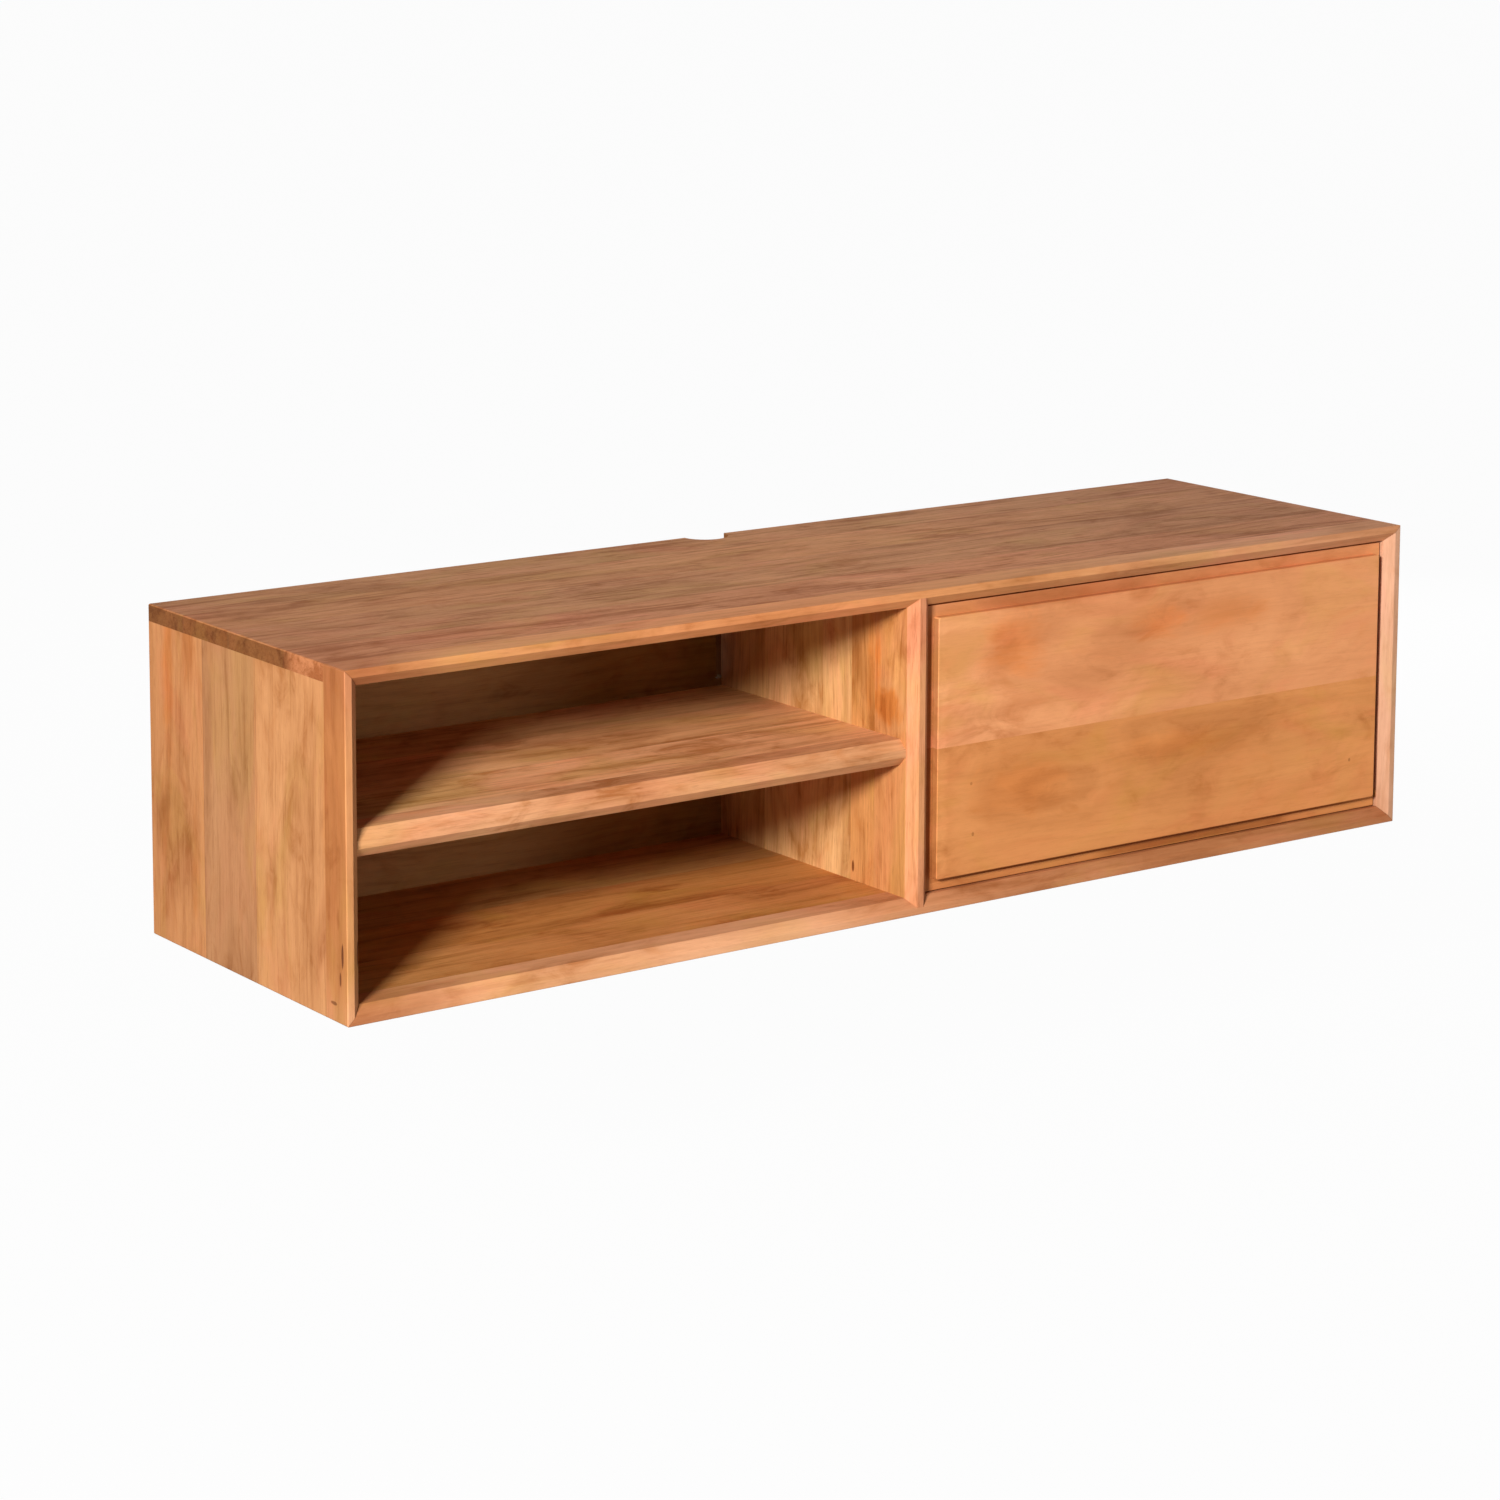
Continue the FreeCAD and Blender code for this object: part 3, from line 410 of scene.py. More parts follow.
def dress(material, *nodes):
    """Puts a material on pieces of the frame."""
    for node in nodes:
        slots = frame["nodes"][node].data.materials
        slots.clear()
        slots.append(material)


def dress_board(node, name, axes, colour, seed, look, **settings):
    """Puts wood of a single board on a piece."""
    dress(wood(name, axes, [(OUTSIDE, colour)], seed, look, **settings), node)


# ---------------------------------------------------------------- new pieces
def solids_of(node):
    """The separate solids of a node, as arrays of points.

    Corners that share a triangle share a label, and labels spread until nothing changes.
    """
    mesh = frame["nodes"][node].data
    points = np.empty(len(mesh.vertices) * 3)
    mesh.vertices.foreach_get("co", points)
    mesh.calc_loop_triangles()
    corners = np.empty(len(mesh.loop_triangles) * 3, int)
    mesh.loop_triangles.foreach_get("vertices", corners)
    points, merged = np.unique(points.reshape(-1, 3).round(6), axis=0, return_inverse=True)
    triangles = merged.ravel()[corners].reshape(-1, 3)
    label = np.arange(len(points))
    while True:
        lowest = label[triangles].min(axis=1)
        after = label.copy()
        for corner in range(3):
            np.minimum.at(after, triangles[:, corner], lowest)
        if (after == label).all():
            return [points[label == one] for one in np.unique(label)]
        label = after


def grid_faces(rows, columns, first):
    """Quads of a grid whose columns close on themselves."""
    row, column = np.mgrid[0:rows - 1, 0:columns]
    following = (column + 1) % columns
    quads = np.stack([row * columns + column, (row + 1) * columns + column,
                      (row + 1) * columns + following, row * columns + following], axis=-1)
    return quads.reshape(-1, 4) + first


# A screw's rings over the head's flat, its cone and the shank, and its proportions: the flat and
# the rim's fall over the head's radius, the recess's depth over the head's height, the thread's
# depth and the tip's length over the shank's radius, and how steeply a tooth rises over a turn.
FLAT_RINGS, CONE_RINGS, SHANK_RINGS = 21, 5, 89
HEAD_FLAT, RIM_FALL, RECESS_DEPTH = 0.97, 0.03, 0.8
THREAD_DEPTH, TIP_LENGTH, TOOTH_SLOPE = 0.28, 2.2, 4.5


def screw_surface(head_radius, shank_radius, head_height, length, sizes):
    """Points of a countersunk wood screw, head up at the origin, shank along -Z.

    A surface of revolution in (station, angle).  Over the head its height is 0 less a cross-shaped
    recess: depth times a smooth step of how far a point lies inside either arm.  On the shank the
    radius is root + (crest - root) times a tooth of the height plus the angle's share of the pitch.
    """
    angle = np.linspace(0, 2 * math.pi, sizes.screw_sides, endpoint=False)
    round_once = np.ones_like(angle)
    flat = np.linspace(0.0, 1.0, FLAT_RINGS + 1)[1:]
    radius = np.outer(flat * head_radius * HEAD_FLAT, round_once)
    x, y = radius * np.cos(angle), radius * np.sin(angle)
    reach, half = sizes.recess_reach * head_radius, sizes.recess_width * head_radius / 2

    def inside(a, b):
        across = np.clip((half * 1.35 - np.abs(b)) / (half * 0.7), 0, 1)
        end = np.clip((reach - np.abs(a)) / (half * 0.9), 0, 1)
        return across * end

    sunk = np.maximum(inside(x, y), inside(y, x))
    head_z = -head_height * RECESS_DEPTH * sunk * sunk * (3 - 2 * sunk)

    stations = np.linspace(0.0, 1.0, CONE_RINGS + 1)[1:]
    cone_r = np.outer(head_radius + (shank_radius - head_radius) * stations, round_once)
    cone_z = np.outer(-head_height * stations, round_once)

    depth = np.linspace(head_height, length, SHANK_RINGS + 1)[1:]
    turn = np.add.outer(depth / sizes.thread_pitch, angle / (2 * math.pi)) % 1.0
    tooth = np.clip(1 - np.abs(turn - 0.5) * TOOTH_SLOPE, 0, 1)
    taper = np.clip((length - depth) / (TIP_LENGTH * shank_radius), 0.02, 1)[:, None]
    start = np.clip((depth - head_height) / (2 * sizes.thread_pitch), 0, 1)[:, None]
    root = shank_radius * (1 - THREAD_DEPTH * start)
    shank_r = (root + (shank_radius - root) * tooth) * taper
    shank_z = np.outer(-depth, round_once)

    rings_r = np.vstack([radius, [round_once * head_radius], cone_r, shank_r])
    rings_z = np.vstack([head_z, [round_once * -RIM_FALL * head_radius], cone_z, shank_z])
    points = np.stack([rings_r * np.cos(angle), rings_r * np.sin(angle), rings_z], axis=-1)
    top, tip = [[0, 0, head_z.min()]], [[0, 0, -length]]
    return np.vstack([points.reshape(-1, 3), top, tip]), len(points), len(angle)


def screws_for(node, sizes):
    """One mesh of real screws in the places of a node's plain ones."""
    verts, faces = [], []
    for solid in solids_of(node):
        low, high = solid.min(axis=0), solid.max(axis=0)
        axis = int(np.argmax(high - low))
        others = [i for i in range(3) if i != axis]
        centre = (low + high) / 2
        reach = np.hypot(*(solid[:, i] - centre[i] for i in others))
        head_up = solid[reach.argmax(), axis] > centre[axis]
        head = centre.copy()
        head[axis] = high[axis] if head_up else low[axis]
        up = np.zeros(3)
        up[axis] = 1.0 if head_up else -1.0
        right = np.roll(up, 1)
        frame_axes = np.stack([right, np.cross(up, right), up])
        head_radius = reach.max()
        near_tip = np.abs(solid[:, axis] - head[axis]) > 0.9 * (high[axis] - low[axis])
        shank_radius = reach[near_tip].max()
        rest = np.abs(solid[reach < 1.01 * shank_radius, axis] - head[axis])
        head_height = rest[rest > 1e-5].min()
        points, rows, columns = screw_surface(
            head_radius, shank_radius, head_height, high[axis] - low[axis], sizes)
        first = sum(len(v) for v in verts)
        verts.append(points @ frame_axes + head)
        around = np.arange(columns)
        ahead = (around + 1) % columns
        cap = first + len(points) - 2
        last = first + (rows - 1) * columns
        faces.append(grid_faces(rows, columns, first).tolist())
        faces.append(np.stack([np.full(columns, cap), first + around, first + ahead], 1).tolist())
        faces.append(np.stack([np.full(columns, cap + 1), last + ahead, last + around], 1).tolist())
    return np.vstack(verts), [face for block in faces for face in block]


def new_piece(name, points, faces, material):
    """A mesh object in the scene."""
    mesh = bpy.data.meshes.new(name)
    mesh.from_pydata(points.tolist(), [], faces)
    mesh.materials.append(material)
    mesh.validate()
    piece = bpy.data.objects.new(name, mesh)
    bpy.context.scene.collection.objects.link(piece)
    return piece


# ---------------------------------------------------------------- sizes and colours
def colour_setting(name, description, default):
    """A colour for a settings group."""
    return bpy.props.FloatVectorProperty(
        name=name, description=description, default=default, size=3, min=0.0, max=1.0,
        subtype="COLOR")


class ConsoleWood(bpy.types.PropertyGroup):
    figure: bpy.props.FloatProperty(
        name="Figure", description="How strongly the grain and figure show", default=1.0,
        min=0.0, max=2.0)
    roughness: bpy.props.FloatProperty(
        name="Roughness", description="Roughness of the oiled surface", default=0.58,
        min=0.0, max=1.0)
    salmon: colour_setting("Salmon boards", "Pinkish sapwood", (0.70, 0.295, 0.120))
    honey: colour_setting("Honey boards", "Yellow-brown heartwood", (0.66, 0.265, 0.088))
    sand: colour_setting("Sand boards", "Pale greyish wood", (0.60, 0.275, 0.115))
    russet: colour_setting("Russet boards", "Deep orange-brown wood", (0.56, 0.1998, 0.068))
    blush: colour_setting("Blush boards", "Palest pink sapwood", (0.78, 0.400, 0.240))
    walnut: colour_setting("Back board", "Brown veneer of the back board", (0.34, 0.16, 0.065))
    cleat: colour_setting("Cleats", "Raw planed wood of the cleats", (0.52, 0.33, 0.17))


class ConsoleFittings(bpy.types.PropertyGroup):
    zinc: colour_setting("Zinc", "Plated steel of the stays and screws", (0.56, 0.57, 0.58))
    brass: colour_setting("Brass", "Turned brass of the bushes", (0.66, 0.45, 0.18))
    plastic: colour_setting("Plastic", "Brown plastic of the catch", (0.07, 0.03, 0.015))
    nylon: colour_setting("Nylon", "Washers under the nuts", (0.75, 0.72, 0.64))
    thread_pitch: bpy.props.FloatProperty(
        name="Thread pitch", description="Pitch of the screws' threads", default=1.6 * MM,
        min=0.2 * MM, unit="LENGTH")
    recess_reach: bpy.props.FloatProperty(
        name="Recess reach", description="Length of a recess arm over the head's radius",
        default=0.62, min=0.2, max=0.9)
    recess_width: bpy.props.FloatProperty(
        name="Recess width", description="Width of a recess arm over the head's radius",
        default=0.26, min=0.1, max=0.6)
    screw_sides: bpy.props.IntProperty(
        name="Sides", description="Points round each screw", default=56, min=12, max=128)


def lamp_setting(name, description, default):
    """A lamp's power in watts for a settings group."""
    return bpy.props.FloatProperty(
        name=name, description=description, default=default, min=0.0, unit="POWER")


class ConsoleStage(bpy.types.PropertyGroup):
    floor_drop: bpy.props.FloatProperty(
        name="Floor drop", description="From the console's underside down to the floor",
        default=0.35, min=0.0, unit="LENGTH")
    key: lamp_setting("Key lamp", "Power of the softbox at the front left", 445.0)
    fill: lamp_setting("Fill lamp", "Power of the softbox at the front right", 12.0)
    top: lamp_setting("Top lamp", "Power of the softbox overhead", 4.0)
    back: lamp_setting("Back lamp", "Power of the softbox behind", 55.0)
    ambient: bpy.props.FloatProperty(
        name="Ambient", description="Light from all round", default=0.04, min=0.0)


# ---------------------------------------------------------------- marks
# As wood() takes them, in metres: kind, along, across, half length, half width, strength.
TOP_MARKS = [
    ("dark", -0.378, -0.204, 0.050, 0.010, 0.6), ("dark", -0.095, -0.126, 0.060, 0.009, 0.6),
    ("dark", -0.193, -0.266, 0.050, 0.010, 0.6), ("dark", 0.142, -0.178, 0.070, 0.012, 0.6),
    ("dark", 0.42, -0.150, 0.120, 0.020, 0.5), ("dark", -0.52, -0.100, 0.090, 0.014, 0.5),
]
LEFT_SIDE_MARKS = [
    ("dark", -0.007, -0.200, 0.050, 0.020, 0.6), ("dark", -0.071, -0.181, 0.055, 0.018, 0.6),
    ("swirl", -0.040, -0.190, 0.080, 0.028, 0.5), ("dark", 0.000, -0.128, 0.090, 0.012, 0.6),
    ("dark", 0.064, -0.085, 0.040, 0.012, 0.5), ("amber", 0.064, -0.085, 0.045, 0.014, 0.6),
    ("dark", -0.123, -0.027, 0.045, 0.012, 0.5), ("amber", -0.123, -0.030, 0.050, 0.014, 0.6),
    ("dark", -0.015, -0.065, 0.070, 0.010, 0.5), ("pale", 0.050, -0.285, 0.060, 0.040, 0.5),
    ("amber", 0.030, -0.040, 0.110, 0.011, 0.8), ("amber", -0.160, -0.095, 0.060, 0.010, 0.7),
    ("pale", -0.080, -0.270, 0.090, 0.035, 0.4), ("amber", -0.020, -0.362, 0.090, 0.008, 0.5),
    ("dark", -0.050, -0.335, 0.040, 0.008, 0.35),
]
LEFT_STRIP_MARKS = [
    ("knot", -0.182, -0.391, 0.014, 0.0026, 0.9), ("knot", -0.206, -0.387, 0.009, 0.0022, 0.8),
    ("knot", -0.2325, -0.374, 0.0022, 0.007, 0.7), ("dark", -0.147, -0.384, 0.012, 0.003, 0.8),
]
DIVIDER_STRIP_MARKS = [
    ("amber", 0.015, -0.341, 0.045, 0.007, 1.6), ("amber", -0.030, -0.358, 0.020, 0.026, 1.6),
    ("dark", -0.030, -0.358, 0.018, 0.022, 0.5), ("dark", -0.016, -0.350, 0.045, 0.005, 0.7),
    ("pale", 0.035, -0.370, 0.045, 0.017, 2.2),
]
DIVIDER_MARKS = [
    ("knot", -0.2175, -0.2997, 0.007, 0.0024, 0.9), ("knot", -0.2259, -0.351, 0.004, 0.0015, 0.8),
    ("amber", 0.0, -0.33, 0.07, 0.010, 0.9), ("dark", 0.02, -0.30, 0.06, 0.010, 0.6),
    ("pale", 0.000, -0.215, 0.060, 0.060, 0.9),
]
FLAP_MARKS = [
    ("dark", 0.280, 0.011, 0.050, 0.036, 0.45), ("amber", 0.333, 0.031, 0.044, 0.022, 0.7),
    ("dark", 0.234, -0.016, 0.050, 0.032, 0.40), ("amber", 0.123, 0.024, 0.046, 0.036, 0.7),
    ("dark", 0.112, 0.021, 0.024, 0.024, 0.45), ("dark", 0.179, 0.035, 0.034, 0.018, 0.35),
    ("amber", 0.439, 0.026, 0.060, 0.020, 0.5), ("dark", 0.439, 0.030, 0.050, 0.012, 0.30),
    ("amber", 0.140, -0.130, 0.070, 0.034, 0.45), ("amber", 0.369, -0.117, 0.110, 0.020, 0.45),
    ("swirl", 0.190, -0.140, 0.110, 0.040, 0.40), ("dark", 0.459, -0.112, 0.070, 0.018, 0.40),
    ("dark", 0.552, -0.135, 0.070, 0.024, 0.35), ("dark", 0.400, -0.090, 0.220, 0.010, 0.35),
    ("pale", 0.339, -0.098, 0.030, 0.014, 0.8), ("pale", 0.060, -0.150, 0.030, 0.060, 0.6),
    ("pale", 0.480, -0.020, 0.120, 0.030, 0.6), ("pale", 0.600, -0.150, 0.080, 0.050, 0.6),
    ("pale", 0.070, -0.035, 0.060, 0.050, 1.0), ("pale", 0.200, -0.058, 0.120, 0.018, 0.8),
    # The pale band at 0.030, along the field's left edge, is a painted highlight.
    ("pale", 0.030, -0.080, 0.010, 0.140, 1.2), ("pale", 0.070, 0.058, 0.070, 0.010, 1.0),
    # The stain boxes at 0.345 and 0.016 are painted shadow: a line under the field's lower edge,
    # the bottom and top borders, and the left border beside the divider; the one at 0.400 darkens
    # the middle of the bottom border.  The dark mark along the top border's left half is painted
    # shade too.
    ("painted_shadow", 0.345, -0.2205, 0.330, 0.0030, 1.0), ("painted_shadow", 0.400, -0.2250, 0.150, 0.0060, 0.7),
    ("painted_shadow", 0.345, -0.2265, 0.340, 0.0060, 0.25), ("painted_shadow", 0.345, 0.0725, 0.340, 0.0065, 0.30),
    ("painted_shadow", 0.016, -0.0760, 0.0065, 0.160, 0.9), ("dark", 0.160, 0.0725, 0.180, 0.0080, 0.6),
    ("knot", 0.071, -0.119, 0.0022, 0.0022, 0.35), ("knot", 0.074, -0.175, 0.0022, 0.003, 0.45),
    ("knot", 0.631, -0.169, 0.0022, 0.0025, 0.45),
]


# ---------------------------------------------------------------- stage
WHITE = (1.0, 1.0, 1.0, 1.0)
FLOOR_GREY = (0.46, 0.455, 0.45, 1.0)
FLOOR_GLOW = 0.97                       # share of white in the floor where it is seen
FLOOR_REACH, FLOOR_CELLS = 30.0, 12     # metres each way, squares along a side

CAMERA_PLACE = (-2.5630, -3.6332, 0.8989)
CAMERA_TURN = (35.8567, 7.8957, 0.2295)  # azimuth, elevation and roll in degrees
FOCAL_LENGTH, SENSOR_WIDTH, CAMERA_SHIFT = 95.777, 36.0, -0.25
CAMERA_REACH = (0.05, 100.0)             # nearest and farthest, in metres

# Place, point aimed at, width, height, and whether gloss mirrors the lamp.
SOFTBOXES = {
    "key": ((-4.35, -3.30, 1.82), (0.0, -0.3, -0.05), 0.9, 0.9, True),
    "fill": ((1.9, -3.2, 0.15), (0.0, -0.3, -0.05), 0.9, 0.9, True),
    "top": ((0.2, -0.2, 2.4), (0.2, -0.2, 0.0), 1.6, 1.0, False),
    "back": ((2.6, 2.4, 0.5), (0.3, -0.1, -0.05), 1.2, 1.2, False),
}


def floor_grid(level):
    """Points and squares of the floor."""
    edge = np.linspace(-FLOOR_REACH, FLOOR_REACH, FLOOR_CELLS + 1)
    u, v = np.meshgrid(edge, edge)
    points = np.stack([u, v, np.full_like(u, level)], axis=-1).reshape(-1, 3)
    row, column = np.mgrid[0:FLOOR_CELLS, 0:FLOOR_CELLS]
    first = (row * (FLOOR_CELLS + 1) + column).reshape(-1, 1)
    return points, (first + np.array([0, 1, FLOOR_CELLS + 2, FLOOR_CELLS + 1])).tolist()


def seen_rays(finish):
    """1 for rays that show the stage itself: camera, glossy and transmission rays."""
    path = finish.add("ShaderNodeLightPath").socket.node
    camera, glossy, through = (Term(finish, path.outputs[name]) for name in (
        "Is Camera Ray", "Is Glossy Ray", "Is Transmission Ray"))
    return camera.larger(glossy).larger(through)


def softbox(name, power, place, aim, width, height, mirrored):
    """A rectangular lamp at a place, turned towards a point."""
    lamp = bpy.data.lights.new(name, "AREA")
    lamp.shape, lamp.size, lamp.size_y, lamp.energy = "RECTANGLE", width, height, power
    holder = bpy.data.objects.new(name, lamp)
    holder.location = place
    holder.rotation_mode = "QUATERNION"
    holder.rotation_quaternion = (Vector(place) - Vector(aim)).to_track_quat("Z", "Y")
    holder.visible_camera = False
    holder.visible_glossy = mirrored
    bpy.context.scene.collection.objects.link(holder)


def camera_matrix():
    """The camera's place and turn: it looks along +Y before it is turned."""
    azimuth, elevation, roll = (math.radians(angle) for angle in CAMERA_TURN)
    ahead = Vector((math.sin(azimuth) * math.cos(elevation),
                    math.cos(azimuth) * math.cos(elevation), -math.sin(elevation)))
    right = Vector((math.cos(azimuth), -math.sin(azimuth), 0.0))
    up = right.cross(ahead)
    right, up = (right * math.cos(roll) + up * math.sin(roll),
                 up * math.cos(roll) - right * math.sin(roll))
    return Matrix.Translation(CAMERA_PLACE) @ Matrix((right, up, -ahead)).transposed().to_4x4()


# ---------------------------------------------------------------- operators
class CONSOLE_OT_outer_boards(bpy.types.Operator):
    """Finish the top and the two side boards"""
    bl_idname = "console.outer_boards"
    bl_label = "Outer boards"

    def execute(self, context):
        look = context.scene.console_wood
        dress(wood("top wood", "xyz", [
            (-0.400, toned(look.salmon, 0.86, 0.84, 0.90)),
            (-0.282, toned(look.sand, 0.92, 0.90, 0.90)),
            (-0.170, toned(look.sand, 0.96, 0.92, 0.88)),
            (-0.075, toned(look.sand, 0.90, 0.88, 0.86))], 3, look,
            seamed=True, marks=TOP_MARKS, pith=(-0.2, 0.02), streaks=2.1, flecks=2.0,
            end_span=(-0.305, -0.280), end_shade=(0.44, 0.39, 0.25),
            # Along the grain: darker at both ends, lighter in the middle; partly the top's own
            # tone, partly painted light and shade.
            fades=[(-0.70, (0.90, 0.84, 0.78)), (-0.30, (1.0, 0.98, 0.94)),
                   (0.05, (1.12, 1.08, 1.02)), (0.70, (0.94, 0.88, 0.82))]), "top_panel")
        dress(wood("left side wood", "zyx", [
            (-0.400, toned(look.salmon, 0.77, 0.82, 0.78)),
            (-0.224, toned(look.sand, 0.72, 0.71, 0.70)),
            (-0.115, toned(look.honey, 0.76, 0.80, 0.88))], 5, look,
            seamed=True, marks=LEFT_SIDE_MARKS, pith=(-0.17, -0.62), ring_spacing=0.016,
            clouds=0.85, streaks=0.8), "left_side_panel")
        dress(wood("right side wood", "zyx", [
            (-0.400, toned(look.salmon)), (-0.300, toned(look.sand)),
            (-0.190, toned(look.honey)), (-0.080, toned(look.russet))], 8, look,
            seamed=True, pith=(-0.1, 0.6), ring_spacing=0.014), "right_side_panel")
        return {"FINISHED"}


class CONSOLE_OT_front_strips(bpy.types.Operator):
    """Finish the mitred strips along the front and the nosings of the divider and the shelf"""
    bl_idname = "console.front_strips"
    bl_label = "Front strips"

    def execute(self, context):
        look = context.scene.console_wood
        mitred = {"mitred": True, "streaks": 0.6, "clouds": 0.7, "flecks": 0.6}
        dress_board("top_front_lipping", "top strip wood", "xyz", toned(look.salmon), 11, look,
                    **mitred, fades=[
                        # Dark at the left end and paler, bluer towards the right: partly the
                        # strip's own tone, partly painted shade and a painted highlight.
                        (-0.70, (0.66, 0.58, 0.50)), (-0.56, (0.98, 0.98, 0.92)),
                        (-0.15, (1.10, 1.04, 0.96)), (0.15, (1.02, 1.04, 0.96)),
                        (0.45, (1.10, 1.18, 1.40)), (0.70, (1.0, 1.06, 1.20))])
        dress_board("bottom_front_lipping", "bottom strip wood", "xyz", toned(look.salmon), 12,
                    look, **mitred, fades=[
                        # Dark at the left end, pale and bluish over the left part where a highlight
                        # is painted on the bevel, darker to the right: partly the strip's own tone,
                        # partly painted light and shade.
                        (-0.70, (0.70, 0.62, 0.62)), (-0.52, (1.10, 1.26, 1.50)),
                        (-0.20, (1.10, 1.28, 1.60)), (0.05, (0.88, 0.86, 0.92)),
                        (0.45, (0.76, 0.70, 0.66)), (0.70, (0.76, 0.68, 0.70))])
        dress_board("left_front_lipping", "left strip wood", "zyx", toned(look.honey), 13, look,
                    # The left face gets painted shade.
                    **mitred, marks=LEFT_STRIP_MARKS, outer_shade=(0.74, 0.64, 0.50), fades=[
                        # Pale and bluish at the bottom end, darker at the top: partly the strip's
                        # own tone, partly painted light and highlight.
                        (-0.251, (1.04, 1.24, 1.90)), (-0.190, (0.88, 0.98, 1.15)),
                        (0.0, (0.90, 0.96, 1.12)), (0.099, (0.76, 0.76, 0.95))])
        dress_board("right_front_lipping", "right strip wood", "zyx",
                    toned(look.blush, 0.92, 0.95, 0.96), 14, look, **mitred)
        dress_board("divider_lipping", "divider strip wood", "zyx",
                    toned(look.salmon, 1.04, 1.02, 1.20), 15, look, marks=DIVIDER_STRIP_MARKS,
                    # The left face gets painted shade.
                    outer_shade=(0.84, 0.90, 0.66), streaks=0.8, clouds=0.8, flecks=1.2)
        dress_board("shelf_lipping", "shelf strip wood", "xyz", toned(look.salmon), 16, look,
                    clouds=1.2, streaks=0.9, fades=[
                        # Palest and bluest towards the left: partly the nosing's own tone, partly
                        # painted light and highlight.
                        (-0.70, (0.96, 1.05, 1.10)), (-0.52, (1.10, 1.32, 1.60)),
                        (-0.30, (1.04, 1.14, 1.25)), (0.0, (1.0, 1.12, 1.25))])
        return {"FINISHED"}


class CONSOLE_OT_bay_boards(bpy.types.Operator):
    """Finish the divider, the shelf, the bottom and the back board"""
    bl_idname = "console.bay_boards"
    bl_label = "Bay boards"

    def execute(self, context):
        look = context.scene.console_wood
        dress(wood("divider wood", "zyx", [
            (OUTSIDE, toned(look.honey, 0.90, 1.00, 0.96)),
            # The middle board is paler: partly its own tone, partly painted light where the face is
            # lit.
            (-0.298, toned(look.sand, 1.14, 1.34, 1.28)),
            (-0.14, toned(look.sand, 1.04, 1.14, 1.00))], 21, look,
            marks=DIVIDER_MARKS, pith=(-0.3, -0.03), ring_spacing=0.006, streaks=1.3,
            # Behind the back board's front face the divider gets painted shade.
            flecks=1.4, painted_shade_from=-0.054), "divider_panel")
        dress(wood("shelf wood", "xyz", [
            # The staves turn paler towards the front: partly their own tone, partly painted light.
            (OUTSIDE, toned(look.sand, 1.45, 1.62, 1.80)),
            (-0.255, toned(look.sand, 1.24, 1.36, 1.36)),
            (-0.15, toned(look.sand, 1.16, 1.38, 1.34))], 22, look,
            seamed=True, pith=(-0.2, -0.13), streaks=1.6, flecks=1.3,
            # Dark at the left end: painted shadow of the left side.
            fades=[(-0.69, (0.56, 0.66, 0.64)), (-0.60, (0.94, 1.02, 1.02)),
                   (-0.45, (1.06, 1.04, 1.06))]), "shelf_panel")
        dress(wood("bottom wood", "xyz", [
            (OUTSIDE, toned(look.honey, 0.96, 0.98, 0.90)),
            (-0.27, toned(look.honey, 0.88, 0.90, 0.72)),
            (-0.17, toned(look.sand, 0.86, 0.90, 0.66))], 23, look,
            seamed=True, pith=(-0.3, -0.3), streaks=1.5, flecks=1.2,
            # Dark at the left end: painted shadow of the left side.
            fades=[(-0.69, (0.66, 0.76, 0.70)), (-0.58, (0.92, 0.98, 0.96)),
                   (-0.45, (1.0, 1.0, 1.0))]), "bottom_panel")
        dress_board("back_panel", "back board wood", "xzy", toned(look.walnut), 24, look,
                    pith=(0.0, -0.1), fades=[
                        # Painted light and shade: much lighter and greener over the left part,
                        # darker in the middle, lighter again to the right.
                        (-0.69, (1.70, 2.05, 1.85)), (-0.45, (1.60, 1.90, 1.70)),
                        (-0.15, (0.88, 1.04, 0.80)), (0.0, (0.74, 0.84, 0.56)),
                        (0.08, (1.45, 1.50, 1.35))])
        return {"FINISHED"}


class CONSOLE_OT_flap(bpy.types.Operator):
    """Finish the flap: two boards glued along one seam"""
    bl_idname = "console.flap"
    bl_label = "Flap"

    def execute(self, context):
        look = context.scene.console_wood
        dress(wood("flap wood", "xzy", [
            (OUTSIDE, toned(look.honey, 1.01, 0.96, 0.90)),
            (-0.0785, toned(look.salmon, 1.05, 0.99, 0.97))], 31, look,
            marks=FLAP_MARKS, pith=(0.02, -0.43), ring_spacing=0.02, clouds=0.60, streaks=0.35,
            flecks=0.30, rings=0.5, end_shade=(0.60, 0.56, 0.52),
            # Lighter towards the right end: painted light.
            fades=[(0.02, (1.02, 1.02, 1.02)), (0.35, (1.06, 1.08, 1.08)),
                   (0.68, (1.16, 1.20, 1.22))]), "flap_panel")
        return {"FINISHED"}


class CONSOLE_OT_cleats(bpy.types.Operator):
    """Finish the hanging cleats, the wall cleats and the dowels"""
    bl_idname = "console.cleats"
    bl_label = "Cleats and dowels"

    def execute(self, context):
        look = context.scene.console_wood
        raw = wood("raw cleat wood", "xzy", [(OUTSIDE, toned(look.cleat))], 41, look,
                   clouds=0.35, streaks=0.7)
        dress(raw, *(node for node, slot in SLOTS.items() if slot in ("cleat_wood", "dowel_wood")))
        return {"FINISHED"}


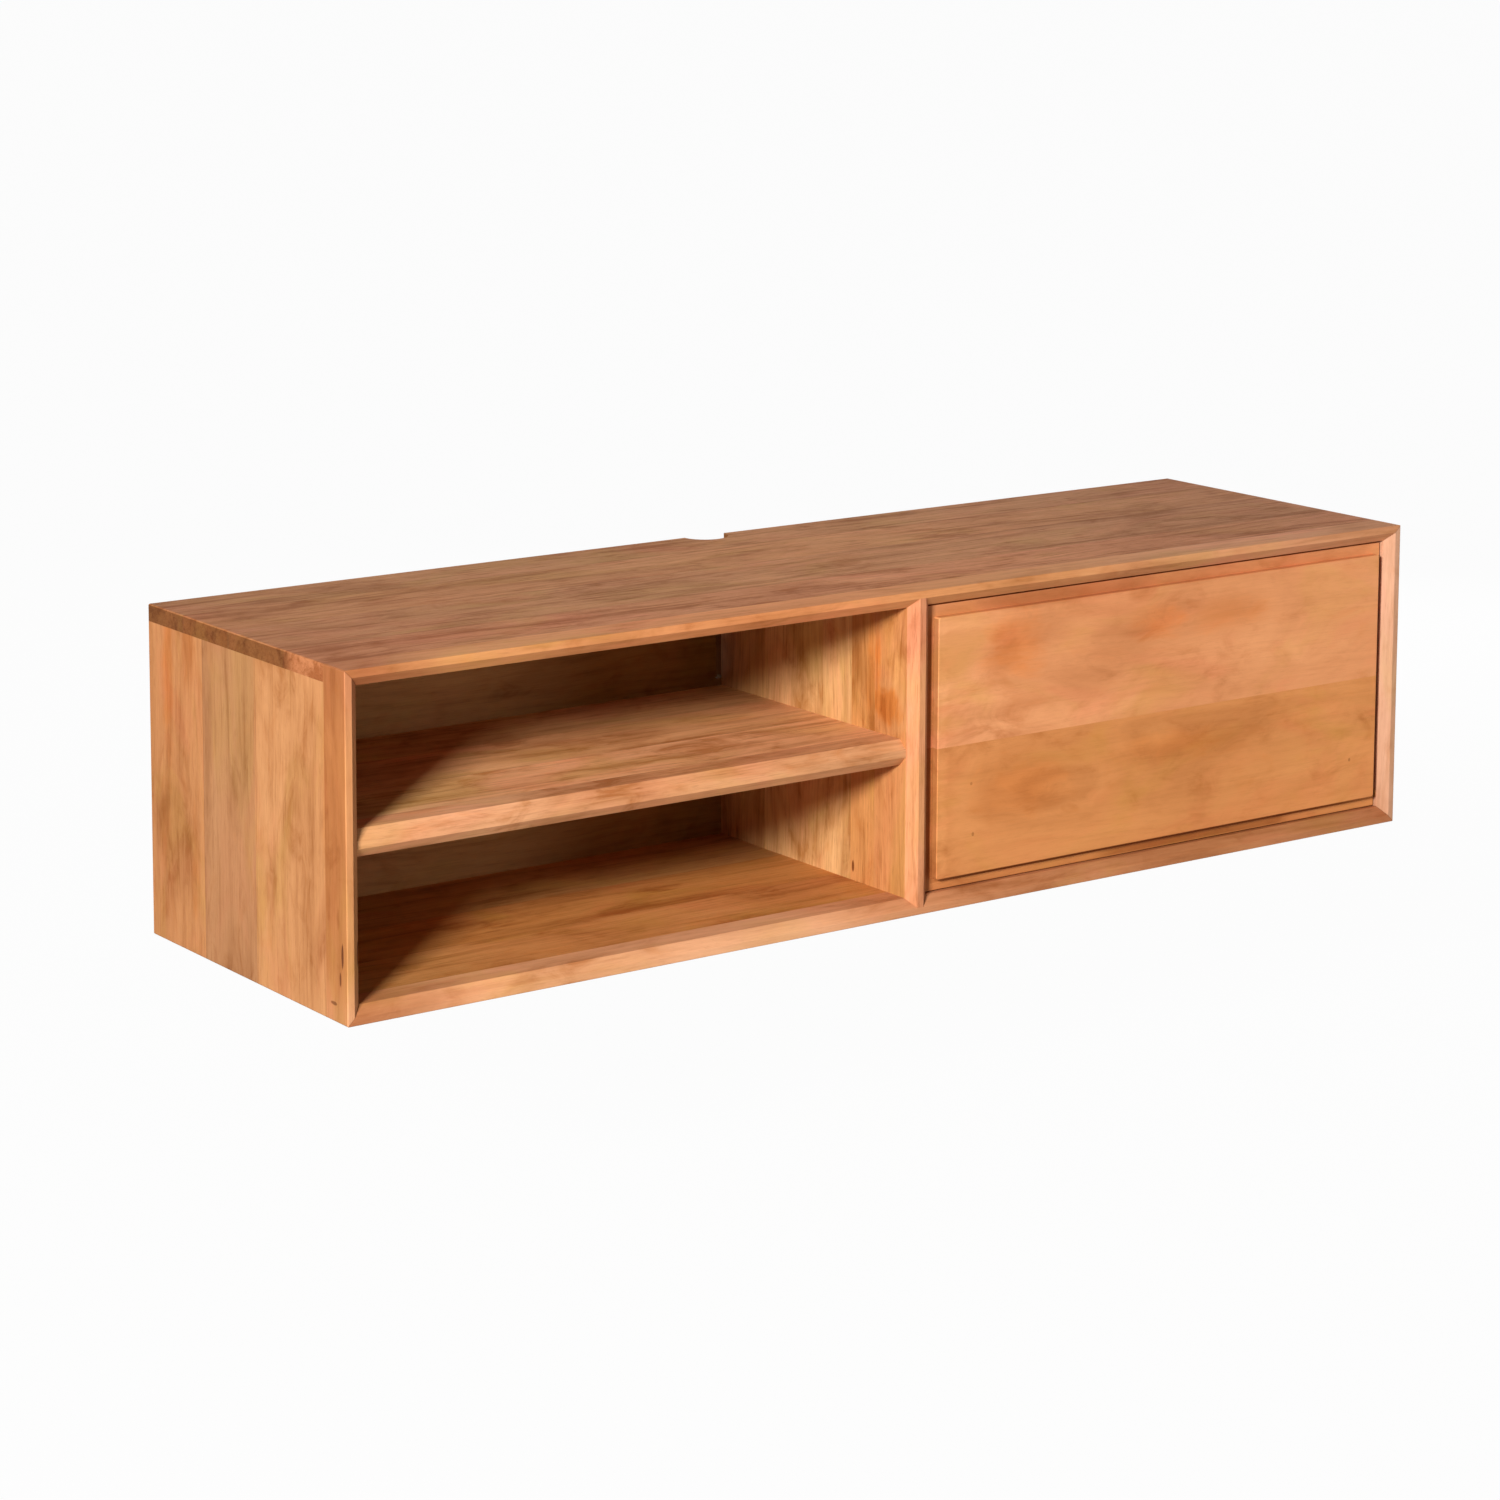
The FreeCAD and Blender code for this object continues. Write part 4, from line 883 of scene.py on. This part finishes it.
class CONSOLE_OT_fittings(bpy.types.Operator):
    """Finish the stays, the bushes and the catch"""
    bl_idname = "console.fittings"
    bl_label = "Fittings"

    def execute(self, context):
        look = context.scene.console_fittings
        finishes = {
            "bright_steel": plated("zinc plated steel", look.zinc, 0.34, (900.0, 60.0, 60.0), 1),
            "magnet_plate": plated("ferrite", FERRITE, 0.55, (300.0, 300.0, 300.0), 2),
            "bush_brass": plated("turned brass", look.brass, 0.28, (900.0, 40.0, 40.0), 3),
            "dark_plastic": moulded("brown plastic", look.plastic, 0.5),
            "washer_nylon": moulded("nylon", look.nylon, 0.42),
        }
        for node, slot in SLOTS.items():
            if slot in finishes:
                dress(finishes[slot], node)
        return {"FINISHED"}


class CONSOLE_OT_screws(bpy.types.Operator):
    """Make countersunk screws with cross recesses and threads in place of the plain ones"""
    bl_idname = "console.screws"
    bl_label = "Screws"

    def execute(self, context):
        look = context.scene.console_fittings
        metal = plated("screw steel", look.zinc, 0.3, (700.0, 700.0, 60.0), 4)
        for node, slot in SLOTS.items():
            if slot == "screw_steel":
                piece = new_piece("real_" + node, *screws_for(node, look), metal)
                for polygon in piece.data.polygons:
                    polygon.use_smooth = True
                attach(piece, BODY_OF[node])
                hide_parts(node)
        return {"FINISHED"}


class CONSOLE_OT_stage(bpy.types.Operator):
    """Set up the pale floor, the lamps, the world and the camera"""
    bl_idname = "console.stage"
    bl_label = "Stage"

    def execute(self, context):
        scene, look = context.scene, context.scene.console_stage
        paper = Finish("pale floor")
        matt = paper.add("ShaderNodeBsdfDiffuse", None, {"Color": FLOOR_GREY})
        white = paper.add("ShaderNodeEmission", None, {"Color": WHITE, "Strength": 1.0})
        paper.add_output(paper.add("ShaderNodeMixShader", None,
                                   {0: seen_rays(paper) * FLOOR_GLOW, 1: matt, 2: white}))
        floor = new_piece("floor", *floor_grid(CAD_LOW.z - look.floor_drop), paper.owner)

        for name, box in SOFTBOXES.items():
            softbox(name + " lamp", getattr(look, name), *box)

        air = Finish("studio", "worlds")
        strength = look.ambient + seen_rays(air) * (1.0 - look.ambient)
        air.add_output(air.add("ShaderNodeBackground", None, {0: WHITE, 1: strength}), "World")
        scene.world = air.owner

        lens = bpy.data.cameras.new("camera")
        lens.sensor_width, lens.lens, lens.shift_y = SENSOR_WIDTH, FOCAL_LENGTH, CAMERA_SHIFT
        lens.clip_start, lens.clip_end = CAMERA_REACH
        camera = bpy.data.objects.new("camera", lens)
        camera.matrix_world = camera_matrix()
        scene.collection.objects.link(camera)
        scene.camera = camera
        scene.view_settings.view_transform = "Standard"
        return {"FINISHED"}


OPERATORS = (CONSOLE_OT_outer_boards, CONSOLE_OT_front_strips, CONSOLE_OT_bay_boards,
             CONSOLE_OT_flap, CONSOLE_OT_cleats, CONSOLE_OT_fittings, CONSOLE_OT_screws,
             CONSOLE_OT_stage)


class CONSOLE_PT_panel(bpy.types.Panel):
    """Lists the console's settings and steps"""
    bl_idname = "CONSOLE_PT_panel"
    bl_label = "Media console"
    bl_space_type = "VIEW_3D"
    bl_region_type = "UI"
    bl_category = "Console"

    def draw(self, context):
        for group in (context.scene.console_wood, context.scene.console_fittings,
                      context.scene.console_stage):
            for name in group.__annotations__:
                self.layout.prop(group, name)
        for operator in OPERATORS:
            self.layout.operator(operator.bl_idname)


CLASSES = (ConsoleWood, ConsoleFittings, ConsoleStage, *OPERATORS, CONSOLE_PT_panel)


def register():
    for one in CLASSES:
        bpy.utils.register_class(one)
    bpy.types.Scene.console_wood = bpy.props.PointerProperty(type=ConsoleWood)
    bpy.types.Scene.console_fittings = bpy.props.PointerProperty(type=ConsoleFittings)
    bpy.types.Scene.console_stage = bpy.props.PointerProperty(type=ConsoleStage)


def unregister():
    del bpy.types.Scene.console_stage
    del bpy.types.Scene.console_fittings
    del bpy.types.Scene.console_wood
    for one in reversed(CLASSES):
        bpy.utils.unregister_class(one)


def main():
    register()
    for operator in OPERATORS:
        group, name = operator.bl_idname.split(".")
        getattr(getattr(bpy.ops, group), name)()


if __name__ == "__main__":
    main()
